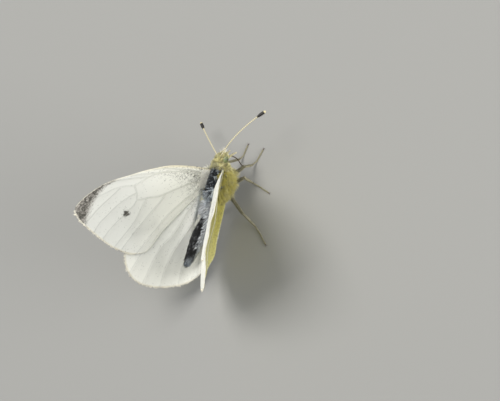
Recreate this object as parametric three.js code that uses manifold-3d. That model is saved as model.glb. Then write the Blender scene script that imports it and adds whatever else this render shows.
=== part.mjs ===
// A small white butterfly (Pieris rapae, male) standing with its wings half raised, as a
// life-size still model. Millimetres; +X runs out through the head, +Y to the insect's left, +Z up.
// Shapes are given in the body's own frame, whose origin lies inside the thorax, and the whole
// insect is set down on its feet at the end. Each solid reaches out to the tips of the fur and
// of the wing fringes, so it is a little fuller than the bare insect.

import * as THREE from 'three';
import { mergeVertices } from 'three/addons/utils/BufferGeometryUtils.js';
import Module from 'manifold-3d';

const wasm = await Module();
wasm.setup();

// Driving dimensions.
const GROUND = -6.5; // height of the ground in the body's frame
const PARTING = 0.05; // gap between solids that meet

const WING_THICKNESS = 0.5;
const WING_BASE = new THREE.Vector3(2.1, 1.5, 2.1); // front of the left forewing's root
const WING_RISE = THREE.MathUtils.degToRad(58); // wing planes above the horizontal
const WING_PITCH = THREE.MathUtils.degToRad(14); // hind margins lower than the front margins
const WING_REACH = 22; // distance over which the camber and the droop are spread
const WING_ARCH = 0.5; // height of the camber from front to hind margin
const WING_DROOP = 0.5; // how far the left tip curls towards the underside
const WING_DROOP_RIGHT = 0.75;
const FOREWING_SWING_RIGHT = THREE.MathUtils.degToRad(-16); // right forewing drawn forward
const HINDWING_SWING_RIGHT = THREE.MathUtils.degToRad(-6); // right hindwing drawn forward
const HINDWING_SHIFT_RIGHT = 2; // and set forward along the chord

// The hind margins curl towards the underside.
const CURL_START = 12; // along the chord
const CURL_REACH = 9;
const CURL_DROP = 0.8;

// The hindwing's inner part folds down beside the abdomen.
const FOLD_LINE = -0.5; // its place along the span
const FOLD_WIDTH = 1.2;
const FOLD_ANGLE = THREE.MathUtils.degToRad(26);

// The hind part of the abdomen bends to the left.
const ABDOMEN_STRAIGHT = -6; // where the bend begins, along the body
const ABDOMEN_BEND = 0.6; // how far the tip is out of line

const SHAFT_RADIUS = 0.25; // antenna shaft
const CLUB_RADIUS = 0.34;
const CLUB_START = 0.87; // share of the antenna's length where its club begins

const FEMUR_RADIUS = 0.36;
const TIBIA_RADIUS = 0.27;
const TARSUS_RADIUS = 0.26;
const SOLE_SINK = 0.06; // how much of the tarsus is planed off where it stands

// Outlines in a wing's own plane: [distance out along the span, distance back along the chord].
const FOREWING_OUTLINE = [
  [-1.7, 0.9], [0, 0.4], [3.2, 0.25], [6.6, 0.5], [9.9, 1.4], [13.1, 2.6], [16.3, 3.9],
  [18.9, 5.6], [20.8, 7.4], [21.6, 8.9], [20.6, 10.5], [17.5, 12.7], [14.6, 14.4],
  [11.8, 15.4], [9.6, 15.5], [7.9, 14.8], [6.1, 11.6], [3.9, 8.7], [1.6, 5.8], [-0.4, 3.9],
  [-1.7, 2.6],
];
const HINDWING_OUTLINE = [
  [-2.6, 3], [-4.3, 5.4], [-5, 9], [-5.1, 13], [-4.5, 16.2], [-2.4, 18.5], [0.4, 20.3],
  [3.9, 21.1], [7.2, 20.9], [9.5, 19.8], [11.1, 17.8], [11.8, 15.3], [11.4, 12.4],
  [10.2, 9.4], [7.6, 6.6], [4.3, 4.1], [1.2, 2.5], [-0.9, 2.1],
];

// Colours of the life-size insect's surfaces.
const WING_COLOUR = { color: 0xe9e8dc, roughness: 0.8 };
const FUR_COLOUR = { color: 0x8f8d77, roughness: 0.95 };
const HEAD_COLOUR = { color: 0xa9a583, roughness: 0.95 };
const ABDOMEN_COLOUR = { color: 0x3b3833, roughness: 0.85 };
const EYE_COLOUR = { color: 0x77806a, roughness: 0.25 };
const LEG_COLOUR = { color: 0x85826f, roughness: 0.7 };
const CLUB_COLOUR = { color: 0x2b2723, roughness: 0.6 };
const PALP_COLOUR = { color: 0xb59c78, roughness: 0.9 };

// A closed solid skinned over a row of rings, with a fan at each end. Its faces are turned
// outward whichever way the rings run.
function loft(rings) {
  const count = rings[0].length;
  const middle = (ring) => ring.reduce((sum, p) => sum.add(p), new THREE.Vector3()).divideScalar(count);
  const points = [...rings.flat(), middle(rings[0]), middle(rings.at(-1))];
  const index = [];
  const lastRing = (rings.length - 1) * count;
  const firstCap = rings.length * count;
  for (let k = 0; k < count; k += 1) {
    const next = (k + 1) % count;
    for (let base = 0; base < lastRing; base += count) {
      index.push(base + k, base + next, base + count + k);
      index.push(base + next, base + count + next, base + count + k);
    }
    index.push(firstCap, next, k);
    index.push(firstCap + 1, lastRing + k, lastRing + next);
  }
  if (signedVolume(points, index) < 0) {
    index.reverse();
  }
  const geometry = new THREE.BufferGeometry().setFromPoints(points);
  geometry.setIndex(index);
  return geometry;
}

function signedVolume(points, index) {
  let sum = 0;
  for (let i = 0; i < index.length; i += 3) {
    const [a, b, c] = [points[index[i]], points[index[i + 1]], points[index[i + 2]]];
    sum += a.dot(new THREE.Vector3().crossVectors(b, c));
  }
  return sum;
}

function toManifold(geometry) {
  const merged = geometry.clone();
  merged.deleteAttribute('normal');
  merged.deleteAttribute('uv');
  const welded = mergeVertices(merged, 1e-5);
  return new wasm.Manifold(new wasm.Mesh({
    numProp: 3,
    vertProperties: new Float32Array(welded.attributes.position.array),
    triVerts: new Uint32Array(welded.index.array),
  }));
}

function toGeometry(manifold) {
  const { vertProperties, triVerts } = manifold.getMesh();
  const geometry = new THREE.BufferGeometry();
  geometry.setAttribute('position', new THREE.BufferAttribute(vertProperties, 3));
  geometry.setIndex(new THREE.BufferAttribute(triVerts, 1));
  return geometry;
}

// The geometry less each of the tools, which are other pieces grown by the parting gap.
function cutBack(geometry, ...tools) {
  const solid = tools.reduce((rest, tool) => rest.subtract(toManifold(tool)), toManifold(geometry));
  return toGeometry(solid);
}

// A tube of changing radius along a curve. radiusAt takes the share of the length, 0 to 1, and
// the ends are drawn in to domes. Points below floorHeight are planed off to it.
function tube(curve, radiusAt, { steps = 8, sides = 8, grow = 0, floorHeight = -Infinity } = {}) {
  const END_SHARES = [0.004, 0.03];
  const inner = Array.from({ length: steps - 1 }, (_, i) => (i + 1) / steps);
  const shares = [...END_SHARES, ...inner, ...END_SHARES.map((share) => 1 - share).reverse()];
  const dense = 400;
  const frames = curve.computeFrenetFrames(dense);
  const rings = shares.map((share) => {
    const dome = Math.sqrt(1 - Math.abs(2 * share - 1) ** 14);
    const radius = radiusAt(share) * dome + grow;
    const centre = curve.getPointAt(share);
    const frame = Math.round(share * dense);
    return Array.from({ length: sides }, (_, k) => {
      const turn = (2 * Math.PI * (k + 0.5)) / sides;
      const point = centre.clone()
        .addScaledVector(frames.normals[frame], radius * Math.cos(turn))
        .addScaledVector(frames.binormals[frame], radius * Math.sin(turn));
      point.z = Math.max(point.z, floorHeight);
      return point;
    });
  });
  return loft(rings);
}

// A trunk lofted along X from a few stations [x, half width, centre height, half height], its
// middle set sideways by bend.
function trunk(stations, { steps = 12, sides = 18, grow = 0, bend = () => 0 } = {}) {
  const path = new THREE.CatmullRomCurve3(stations.map(([x, w]) => new THREE.Vector3(x, w, 0)));
  const heights = new THREE.CatmullRomCurve3(stations.map(([x, , z, h]) => new THREE.Vector3(x, z, h)));
  const rings = Array.from({ length: steps + 1 }, (_, i) => {
    const across = path.getPoint(i / steps);
    const along = heights.getPoint(i / steps);
    return Array.from({ length: sides }, (_unused, k) => {
      const turn = (2 * Math.PI * k) / sides;
      return new THREE.Vector3(
        across.x,
        bend(across.x) + (across.y + grow) * Math.cos(turn),
        along.y + (along.z + grow) * Math.sin(turn),
      );
    });
  });
  return loft(rings);
}

function ellipsoid(centre, halfSize, { grow = 0, across = 16, down = 10 } = {}) {
  const ball = new THREE.SphereGeometry(1, across, down);
  ball.scale(halfSize.x + grow, halfSize.y + grow, halfSize.z + grow);
  ball.translate(centre.x, centre.y, centre.z);
  return ball;
}

// Body. Each builder takes the amount to grow by, so that a neighbour can be cut back from it.
const thorax = (grow = 0) => trunk([
  [-3.3, 0.85, 0.1, 1.15],
  [-2.5, 1.5, -0.2, 1.95],
  [-1.3, 1.95, -0.55, 2.5],
  [0, 2.15, -0.65, 2.7],
  [1.3, 2, -0.45, 2.45],
  [2.4, 1.45, 0.15, 1.75],
  [3, 0.85, 0.5, 1.1],
], { grow });

const prothorax = (grow = 0) => ellipsoid(
  new THREE.Vector3(2.95, 0, 0.85),
  new THREE.Vector3(0.75, 1.15, 1.15),
  { grow, across: 14, down: 8 },
);

const head = (grow = 0) => ellipsoid(
  new THREE.Vector3(3.78, 0.04, 1),
  new THREE.Vector3(0.95, 1, 1.1),
  { grow },
);

const eye = (side, grow = 0) => ellipsoid(
  new THREE.Vector3(3.9, side * 0.84, 1.05),
  new THREE.Vector3(0.6, 0.43, 0.6),
  { grow, across: 12, down: 9 },
);

const abdomenBend = (x) => ABDOMEN_BEND * (Math.max(ABDOMEN_STRAIGHT - x, 0) / 8.1) ** 2;

const abdomen = (grow = 0) => trunk([
  [-2.6, 0.75, 0.2, 0.9],
  [-3.6, 1.12, 0.25, 1.25],
  [-6, 1.28, 0.3, 1.4],
  [-9, 1.24, 0.35, 1.38],
  [-11.8, 1, 0.42, 1.1],
  [-13.3, 0.7, 0.48, 0.76],
  [-14.1, 0.28, 0.5, 0.32],
].reverse(), { steps: 14, sides: 14, grow, bend: abdomenBend });

const palp = (side) => tube(
  new THREE.QuadraticBezierCurve3(
    new THREE.Vector3(3.9, side * 0.34, 0.1),
    new THREE.Vector3(4.8, side * 0.46, -0.4),
    new THREE.Vector3(5.5, side * 0.62, -1.6),
  ),
  (share) => 0.32 - 0.14 * share,
  { steps: 5 },
);

// The tongue is let down as in feeding, and stops just above the ground.
const proboscis = () => tube(
  new THREE.CatmullRomCurve3([
    new THREE.Vector3(4.1, 0, -0.2),
    new THREE.Vector3(4.75, 0, -1.6),
    new THREE.Vector3(4.6, 0, -3.4),
    new THREE.Vector3(4, 0, -4.9),
    new THREE.Vector3(3.7, 0, -5.9),
  ]),
  () => SHAFT_RADIUS,
  { steps: 9 },
);

// Antennae: [root, first bend, second bend, tip] of each.
const ANTENNAE = {
  left: [[4.1, 0.36, 1.75], [5.2, 1.58, 1.98], [6.9, 6.66, -2.36], [8.6, 8.4, -2.6]],
  right: [[4.1, -0.34, 1.75], [7, -1.7, 2.7], [10.1, -3.6, 2.7], [13.2, -5.85, 1.7]],
};

function antenna(points, from, to, radiusAt, options) {
  const whole = new THREE.CubicBezierCurve3(...points.map((p) => new THREE.Vector3(...p)));
  const stretch = Array.from({ length: 9 }, (_, i) => whole.getPointAt(from + ((to - from) * i) / 8));
  return tube(new THREE.CatmullRomCurve3(stretch), radiusAt, options);
}

// Wings. The left wing's span, chord and upper-side normal; a right wing mirrors them.
const FORWARD = new THREE.Vector3(Math.cos(WING_PITCH), 0, Math.sin(WING_PITCH));
const SPAN = new THREE.Vector3(0, Math.cos(WING_RISE), 0).addScaledVector(
  new THREE.Vector3(-Math.sin(WING_PITCH), 0, Math.cos(WING_PITCH)),
  Math.sin(WING_RISE),
);
const UPPER = new THREE.Vector3().crossVectors(FORWARD, SPAN);

// Height of a wing's surface over its plane: arched from front to back, drooping to the tip and
// curling under at the hind margin.
function camber(span, chord, droop) {
  const arch = WING_ARCH * Math.sin(Math.PI * THREE.MathUtils.clamp(chord / WING_REACH, 0, 1));
  const curl = CURL_DROP * (Math.max(chord - CURL_START, 0) / CURL_REACH) ** 2;
  return arch - curl - droop * (span / WING_REACH) ** 2;
}

// Where a point of a wing lies: lift is its height over the wing's middle surface.
function wingPoint(side, span, chord, lift, layer, folds) {
  let along = span;
  let rise = camber(span, chord, side > 0 ? WING_DROOP : WING_DROOP_RIGHT) + layer;
  let tilt = 0;
  if (folds && span < FOLD_LINE) {
    const inward = FOLD_LINE - span;
    tilt = FOLD_ANGLE * Math.min(inward / FOLD_WIDTH, 1);
    const arcRadius = FOLD_WIDTH / FOLD_ANGLE;
    const straight = Math.max(inward - FOLD_WIDTH, 0);
    along = FOLD_LINE - arcRadius * Math.sin(tilt) - straight * Math.cos(tilt);
    rise -= arcRadius * (1 - Math.cos(tilt)) + straight * Math.sin(tilt);
  }
  const point = WING_BASE.clone()
    .addScaledVector(SPAN, along - lift * Math.sin(tilt))
    .addScaledVector(FORWARD, -chord)
    .addScaledVector(UPPER, rise + lift * Math.cos(tilt));
  point.y *= side;
  return point;
}

// A wing's solid: its outline drawn in towards a middle point, over the top, round the rim and
// back under. swing turns the outline in its plane about the root, and shift sets it forward.
function wing(side, outline, { middle, layer = 0, folds = false, swing = 0, shift = 0 }) {
  const closed = new THREE.CatmullRomCurve3(outline.map(([s, c]) => new THREE.Vector3(s, c, 0)), true);
  const rim = closed.getSpacedPoints(40).slice(0, -1);
  const half = WING_THICKNESS / 2;
  const shells = [[0.04, 1], [0.4, 1], [0.72, 1], [0.965, 1], [1, 0.35]];
  const overAndUnder = [...shells, ...shells.map(([share, lift]) => [share, -lift]).reverse()];
  const rings = overAndUnder.map(([share, lift]) => rim.map((p) => {
    const span = middle[0] + (p.x - middle[0]) * share;
    const chord = middle[1] + (p.y - middle[1]) * share;
    const turned = new THREE.Vector2(span, chord).rotateAround(new THREE.Vector2(0, 1.5), swing);
    return wingPoint(side, turned.x, turned.y - shift, lift * half, layer, folds);
  }));
  return loft(rings);
}

const forewing = (side) => wing(side, FOREWING_OUTLINE, {
  middle: [9, 7.5],
  swing: side < 0 ? FOREWING_SWING_RIGHT : 0,
});

const hindwing = (side) => wing(side, HINDWING_OUTLINE, {
  middle: [4, 11.5],
  layer: -(WING_THICKNESS + PARTING),
  folds: true,
  swing: side < 0 ? HINDWING_SWING_RIGHT : 0,
  shift: side < 0 ? HINDWING_SHIFT_RIGHT : 0,
});

// Legs: hip, knee and ankle, and the toe's place on the ground.
const LEGS = {
  fore_right: { hip: [1.9, -0.9, -2.3], knee: [3.7, -1.8, -3.2], ankle: [4.4, -1.6, -5.75], toe: [7.3, -2.3] },
  mid_right: { hip: [0.5, -1.1, -2.7], knee: [2, -2.7, -2.9], ankle: [1.7, -2.6, -5.75], toe: [0.9, -5.8] },
  hind_right: { hip: [-1.2, -0.9, -2.7], knee: [-3.5, -3.7, -3.9], ankle: [-4.9, -5.5, -5.95], toe: [-7.2, -8.2] },
  fore_left: { hip: [1.9, 0.9, -2.3], knee: [3.6, 1.6, -3.3], ankle: [4.7, 1.1, -5.75], toe: [7.3, 0.8] },
  mid_left: { hip: [0.5, 1.1, -2.7], knee: [1.5, 2.9, -2.8], ankle: [0.8, 3, -5.75], toe: [-0.5, 6.1] },
  hind_left: { hip: [-1.2, 0.9, -2.7], knee: [-4.1, 3.1, -3.6], ankle: [-7, 3.6, -5.95], toe: [-10.9, 4.9] },
};

function femur({ hip, knee }, grow = 0) {
  const line = new THREE.LineCurve3(new THREE.Vector3(...hip), new THREE.Vector3(...knee));
  return tube(line, (share) => FEMUR_RADIUS * (1 - 0.25 * share), { steps: 3, grow });
}

function tibia({ knee, ankle }, grow = 0) {
  const line = new THREE.LineCurve3(new THREE.Vector3(...knee), new THREE.Vector3(...ankle));
  return tube(line, () => TIBIA_RADIUS, { steps: 3, grow });
}

// The tarsus comes down from the ankle and lies along the ground, with a flat under it.
function tarsus({ ankle, toe }) {
  const start = new THREE.Vector3(...ankle);
  const lying = GROUND + TARSUS_RADIUS - SOLE_SINK;
  const end = new THREE.Vector3(toe[0], toe[1], lying);
  const landing = start.clone().lerp(end, 0.3).setZ(lying);
  const route = new THREE.CatmullRomCurve3([start, landing, end]);
  return tube(route, (share) => TARSUS_RADIUS * (1 - 0.08 * share), { steps: 6, floorHeight: GROUND });
}

// The insect, put together from the trunk outwards.
const insect = new THREE.Group();

function add(name, geometry, colour) {
  const bare = geometry.clone();
  bare.deleteAttribute('normal');
  bare.deleteAttribute('uv');
  const welded = mergeVertices(bare, 1e-4);
  welded.computeVertexNormals();
  const mesh = new THREE.Mesh(welded, new THREE.MeshStandardMaterial({ metalness: 0, ...colour }));
  mesh.name = name;
  insect.add(mesh);
}

add('thorax', thorax(), FUR_COLOUR);
add('prothorax', cutBack(prothorax(), thorax(PARTING)), HEAD_COLOUR);
add('abdomen', cutBack(abdomen(), thorax(PARTING)), ABDOMEN_COLOUR);

const sides = { left: 1, right: -1 };
const skull = cutBack(head(), prothorax(PARTING), thorax(PARTING), eye(1, PARTING), eye(-1, PARTING));
add('head', skull, HEAD_COLOUR);
add('proboscis', cutBack(proboscis(), head(PARTING)), LEG_COLOUR);

for (const [name, side] of Object.entries(sides)) {
  add(`eye_${name}`, cutBack(eye(side), prothorax(PARTING)), EYE_COLOUR);
  add(`palp_${name}`, cutBack(palp(side), head(PARTING), eye(side, PARTING), proboscis()), PALP_COLOUR);

  const shaft = antenna(ANTENNAE[name], 0, CLUB_START, () => SHAFT_RADIUS, { steps: 9 });
  add(`antenna_${name}`, cutBack(shaft, head(PARTING)), LEG_COLOUR);
  const club = antenna(
    ANTENNAE[name],
    CLUB_START + 0.006,
    1,
    (share) => SHAFT_RADIUS + (CLUB_RADIUS - SHAFT_RADIUS) * Math.sin(Math.PI * share ** 0.8),
    { steps: 5 },
  );
  add(`antenna_club_${name}`, club, CLUB_COLOUR);

  add(`forewing_${name}`, cutBack(forewing(side), thorax(PARTING)), WING_COLOUR);
  add(`hindwing_${name}`, cutBack(hindwing(side), thorax(PARTING), abdomen(PARTING)), WING_COLOUR);
}

for (const [name, leg] of Object.entries(LEGS)) {
  add(`leg_${name}_femur`, cutBack(femur(leg), thorax(PARTING)), LEG_COLOUR);
  add(`leg_${name}_tibia`, cutBack(tibia(leg), femur(leg, PARTING)), LEG_COLOUR);
  add(`leg_${name}_tarsus`, cutBack(tarsus(leg), tibia(leg, PARTING)), LEG_COLOUR);
}

// The origin is under the middle of the insect, at the level of its soles.
const extent = new THREE.Box3().setFromObject(insect);
const centre = extent.getCenter(new THREE.Vector3());
insect.position.set(-centre.x, -centre.y, -extent.min.z);
insect.updateMatrixWorld(true);

export default insect;
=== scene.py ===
# %% [markdown]
# # A white butterfly, life size
# This lesson rebuilds a museum's still model of a small white butterfly, a male with its wings
# half raised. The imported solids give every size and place. Over them come thin ribbed wings,
# a skin with a coat of scales and hair, faceted eyes, ringed feelers and jointed legs.
# All modelling is done in millimetres round the middle of the thorax, with X towards the head,
# Y towards the insect's left and Z up, and one matrix carries each finished piece to the frame.

import math

import bmesh
import bpy
import numpy as np
from mathutils import Matrix, Vector
from mathutils.bvhtree import BVHTree


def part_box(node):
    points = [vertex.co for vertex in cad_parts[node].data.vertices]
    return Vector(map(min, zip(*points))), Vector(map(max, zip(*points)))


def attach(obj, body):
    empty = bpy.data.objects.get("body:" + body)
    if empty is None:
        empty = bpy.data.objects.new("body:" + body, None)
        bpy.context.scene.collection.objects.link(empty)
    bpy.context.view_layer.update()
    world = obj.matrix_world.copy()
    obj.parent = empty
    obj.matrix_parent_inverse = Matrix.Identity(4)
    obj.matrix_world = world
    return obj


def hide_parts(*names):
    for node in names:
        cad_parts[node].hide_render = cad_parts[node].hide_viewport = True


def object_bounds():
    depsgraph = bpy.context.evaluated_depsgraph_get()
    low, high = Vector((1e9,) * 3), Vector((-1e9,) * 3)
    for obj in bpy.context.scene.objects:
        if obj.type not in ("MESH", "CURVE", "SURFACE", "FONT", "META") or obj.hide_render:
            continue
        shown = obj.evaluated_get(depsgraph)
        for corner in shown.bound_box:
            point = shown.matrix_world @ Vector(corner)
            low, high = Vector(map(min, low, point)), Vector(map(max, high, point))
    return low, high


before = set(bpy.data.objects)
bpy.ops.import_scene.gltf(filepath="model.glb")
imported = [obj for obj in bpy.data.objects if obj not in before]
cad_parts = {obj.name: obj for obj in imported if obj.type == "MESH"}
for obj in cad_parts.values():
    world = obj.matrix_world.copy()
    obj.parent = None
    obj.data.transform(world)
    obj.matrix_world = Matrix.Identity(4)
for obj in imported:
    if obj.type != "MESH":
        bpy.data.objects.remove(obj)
CAD_LOW, CAD_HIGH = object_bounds()
MM = 0.001
THORAX_TO_FRONT = 3.0 * MM  # from the middle of the body to the thorax solid's front
BODY_HEIGHT = 6.5  # millimetres from the floor to the middle of the body
thorax_low, thorax_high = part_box("thorax")
ORIGIN = Vector((
    thorax_high.x - THORAX_TO_FRONT,
    (thorax_low.y + thorax_high.y) / 2,
    CAD_LOW.z + BODY_HEIGHT * MM,
))
PLACE = Matrix.Translation(ORIGIN) @ Matrix.Scale(MM, 4)

# %% [markdown]
# ## Small helpers
# Outlines, veins, feelers and legs all start from a few points and are drawn as smooth lines
# through them. Blends between two looks use a soft step, and colours are written as the usual
# six-figure codes and turned to the linear values that the shaders work in.

# %% Lines, steps and colours
def through(points, count):
    """Evenly spaced points on a smooth line through the given ones."""
    p = np.array(points, float)
    p = np.vstack([2 * p[0] - p[1], p, 2 * p[-1] - p[-2]])
    t = np.linspace(0, 1, 16, endpoint=False)[:, None]
    parts = []
    for a, b, c, d in zip(p, p[1:], p[2:], p[3:]):
        bend = (2 * a - 5 * b + 4 * c - d) * t**2 + (3 * b - a - 3 * c + d) * t**3
        parts.append(0.5 * (2 * b + (c - a) * t + bend))
    fine = np.vstack([*parts, p[-2:-1]])
    run = np.r_[0, np.cumsum(np.linalg.norm(np.diff(fine, axis=0), axis=1))]
    at = np.linspace(0, run[-1], count)
    return np.column_stack([np.interp(at, run, column) for column in fine.T])


def step(low, high, value):
    """0 below low, 1 above high, and a soft ramp between them."""
    t = np.clip((value - low) / (high - low), 0, 1)
    return t * t * (3 - 2 * t)


def colour(code):
    """The linear red, green and blue of a six-figure colour code."""
    parts = np.array([int(code[i:i + 2], 16) for i in (1, 3, 5)]) / 255
    return np.where(parts <= 0.04045, parts / 12.92, ((parts + 0.055) / 1.055) ** 2.4)


def mixed(first, second, share):
    """A row of colours between first and second, one for each share."""
    share = np.asarray(share)[..., None]
    return first * (1 - share) + second * share


def unit(vectors):
    return vectors / np.maximum(np.linalg.norm(vectors, axis=-1, keepdims=True), 1e-9)


# %% [markdown]
# ## From a mesh to a piece
# A piece is carried into the frame, given its finish and tied to the body it rides on, and the
# solids it stands for are hidden. Its colours are stored on its points, so that the skin and the
# coat over it can wear the same markings.

# %% Finishing a piece
def piece(name, mesh, material, slot, *nodes, tone=None, dust=None, flat=False):
    """Carries a mesh made in millimetres to the frame and returns it as a finished object."""
    if tone is not None:
        layer = mesh.attributes.new("tone", "FLOAT_COLOR", "POINT")
        layer.data.foreach_set("color", np.c_[tone, np.ones(len(tone))].astype(np.float32).ravel())
    if dust is not None:
        layer = mesh.attributes.new("dust", "FLOAT", "POINT")
        layer.data.foreach_set("value", np.asarray(dust, np.float32))
    mesh.transform(PLACE)
    mesh.polygons.foreach_set("use_smooth", [not flat] * len(mesh.polygons))
    mesh.materials.clear()
    mesh.materials.append(material)
    mesh.update()
    made = bpy.data.objects.new(name, mesh)
    bpy.context.scene.collection.objects.link(made)
    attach(made, "root")
    if nodes:
        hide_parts(*nodes)
    print(f"{name}: {len(mesh.polygons)} faces")
    return made


def spots_of(mesh):
    """The mesh's points as rows of x, y, z."""
    flat = np.empty(len(mesh.vertices) * 3, np.float32)
    mesh.vertices.foreach_get("co", flat)
    return flat.reshape(-1, 3).astype(float)


def set_spots(mesh, places):
    mesh.vertices.foreach_set("co", np.asarray(places, np.float32).ravel())
    mesh.update()


def mesh_from(bm, name):
    mesh = bpy.data.meshes.new(name)
    bm.to_mesh(mesh)
    bm.free()
    return mesh


# %% [markdown]
# ## Tubes
# Veins, feelers, tongue and legs are round and taper. Each starts as an upright cylinder cut
# into rings, and the rings are then threaded on a line. To keep a tube from twisting, each
# ring takes over the side direction of the one before, less what now points along the line.

# %% Tubes along lines
def side_directions(points):
    """For each point of a line, its direction and two directions across it that don't twist."""
    along = unit(np.gradient(points, axis=0))
    side = np.cross(along[0], (0.0, 0.0, 1.0) if abs(along[0, 2]) < 0.9 else (1.0, 0.0, 0.0))
    sides = []
    for direction in along:
        side = unit(side - direction * (side @ direction))
        sides.append(side)
    return along, np.array(sides), np.cross(along, sides)


def tubes(lines, sides=8):
    """One closed mesh of tubes, each line with rows of x, y, z, radius, and each point's row."""
    bm = bmesh.new()
    owner = []
    for number, line in enumerate(lines):
        before = len(bm.verts)
        made = bmesh.ops.create_cone(
            bm, cap_ends=True, segments=sides, radius1=1, radius2=1, depth=1)
        edges = {e for v in made["verts"] for e in v.link_edges}
        upright = [e for e in edges if abs(e.verts[0].co.z - e.verts[1].co.z) > 0.5]
        bmesh.ops.subdivide_edges(bm, edges=upright, cuts=len(line) - 2, use_grid_fill=True)
        owner += [number] * (len(bm.verts) - before)
    mesh = mesh_from(bm, "tubes")
    upright = spots_of(mesh)
    owner = np.array(owner)
    sizes = np.array([len(line) for line in lines])
    first = np.r_[0, np.cumsum(sizes)[:-1]]
    row = first[owner] + np.rint((upright[:, 2] + 0.5) * (sizes[owner] - 1)).astype(int)
    turned = [side_directions(line[:, :3]) for line in lines]
    side = np.vstack([t[1] for t in turned])[row]
    over = np.vstack([t[2] for t in turned])[row]
    rows = np.vstack(lines)[row]
    across = side * upright[:, :1] + over * upright[:, 1:2]
    set_spots(mesh, rows[:, :3] + across * rows[:, 3:])
    return mesh, row


# %% [markdown]
# ## Tufts
# The coat is solid mesh. Each tuft is a thin three-sided blade of four rings that leaves the
# skin at an angle and bends over to lie along it. A whole coat is one mesh, worked out with
# arrays because a modifier would repeat the same tuft. Each tuft has a patch of the bake map
# at its root's place, and one colour, the skin's own with a little chance in it. Long hair
# clings together in locks, which share a way to lie and a shade.

# %% Growing tufts
TUFT_RINGS = (0.0, 0.34, 0.68)  # shares of the length that carry a ring; the last is the tip
TUFT_TAPER = (1.0, 0.92, 0.6)
PATCH = 0.003  # width of a tuft's patch on the bake map


def tuft_faces():
    """The sixteen triangles of one tuft of ten points."""
    faces = [(2, 1, 0)]
    for ring in (0, 3):
        for k in range(3):
            a, b = ring + k, ring + (k + 1) % 3
            faces += [(a, b, b + 3), (a, b + 3, a + 3)]
    faces += [(6 + k, 6 + (k + 1) % 3, 9) for k in range(3)]
    return np.array(faces)


def locks(roots, rng, count):
    """The lock each tuft clings to, by number, and the roots in the middle of the locks."""
    middle = roots[rng.choice(len(roots), count, replace=False)]
    gap = (middle**2).sum(axis=1) - 2 * roots @ middle.T
    return gap.argmin(axis=1), middle


def grow(roots, normals, lie, length, width, lift, rng, bend=0.75, stray=0.12, lock=None):
    """Points of the tufts, as an array of tuft, point and x, y, z.
    lie is the way the coat runs, lift the angle at which a tuft leaves the skin."""
    count = len(roots)
    gather = 0 * roots
    if lock is None:
        lie = lie + rng.normal(0, stray, (count, 3))
    else:
        own, middle = lock
        lie = lie + rng.normal(0, stray, middle.shape)[own] + rng.normal(0, 0.25 * stray, (count, 3))
        gather = 0.7 * (middle[own] - roots)
    along = unit(lie - normals * np.sum(lie * normals, axis=1, keepdims=True))
    angle = np.clip(lift * rng.normal(1, 0.2, count), 0.03, 1.5)[:, None]
    start = unit(normals * np.sin(angle) + along * np.cos(angle))
    late = angle * (1 - bend)
    end = unit(normals * np.sin(late) + along * np.cos(late))
    across = unit(np.cross(start, normals + along * 0.01))
    over = unit(np.cross(across, start))
    length = (length * rng.uniform(0.72, 1.15, count))[:, None]
    width = (width * rng.uniform(0.8, 1.2, count))[:, None]
    points = np.empty((count, 10, 3))
    for ring, (share, taper) in enumerate(zip(TUFT_RINGS, TUFT_TAPER)):
        centre = roots + length * (start * share + (end - start) * share**2 / 2) + gather * share**2
        for k in range(3):
            turn = 2 * math.pi * (k + 0.25) / 3
            side = across * math.cos(turn) + over * (0.55 * math.sin(turn))
            points[:, ring * 3 + k] = centre + side * width * (taper / 2)
    points[:, 9] = roots + length * (start + end) / 2 + gather
    return points


def coat(name, points, tone, patches, material, slot):
    """Joins tufts into one piece with its bake map."""
    count = len(points)
    faces = (tuft_faces()[None] + 10 * np.arange(count)[:, None, None]).reshape(-1, 3)
    mesh = bpy.data.meshes.new(name)
    mesh.from_pydata(points.reshape(-1, 3), [], faces)
    ring = np.array([0, 0, 0, 1, 1, 1, 2, 2, 2, 3]) / 3 - 0.5
    turn = np.array([0, 1, 2, 0, 1, 2, 0, 1, 2, 1]) / 2 - 0.5
    spread = np.stack([turn, ring], axis=1) * PATCH
    places = np.clip(patches, PATCH, 1 - PATCH)[:, None] + spread[None]
    bake = mesh.uv_layers.new(name="OFBake")
    bake.data.foreach_set("uv", places.reshape(-1, 2)[faces.ravel()].astype(np.float32).ravel())
    return piece(name, mesh, material, slot, tone=np.repeat(tone, 10, axis=0))


print("triangles in a tuft:", len(tuft_faces()))

# %% [markdown]
# ## Finishes
# A wing is a clear film under thousands of tiny overlapping scales, so its colour is a mixture
# of single scales, most of them white, some of them dark. A cell pattern hands each cell a
# chance value, and the cell is dark where that value is under the local share of dark scales,
# the dust. The same effect serves all wings, so it is a group. Its bump gives rows of scales.

# %% The scale pattern as a node group
def add_sockets(group, in_out, rows):
    for label, kind, value in rows:
        socket = group.interface.new_socket(label, in_out=in_out, socket_type="NodeSocket" + kind)
        if value is not None:
            socket.default_value = value


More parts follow.
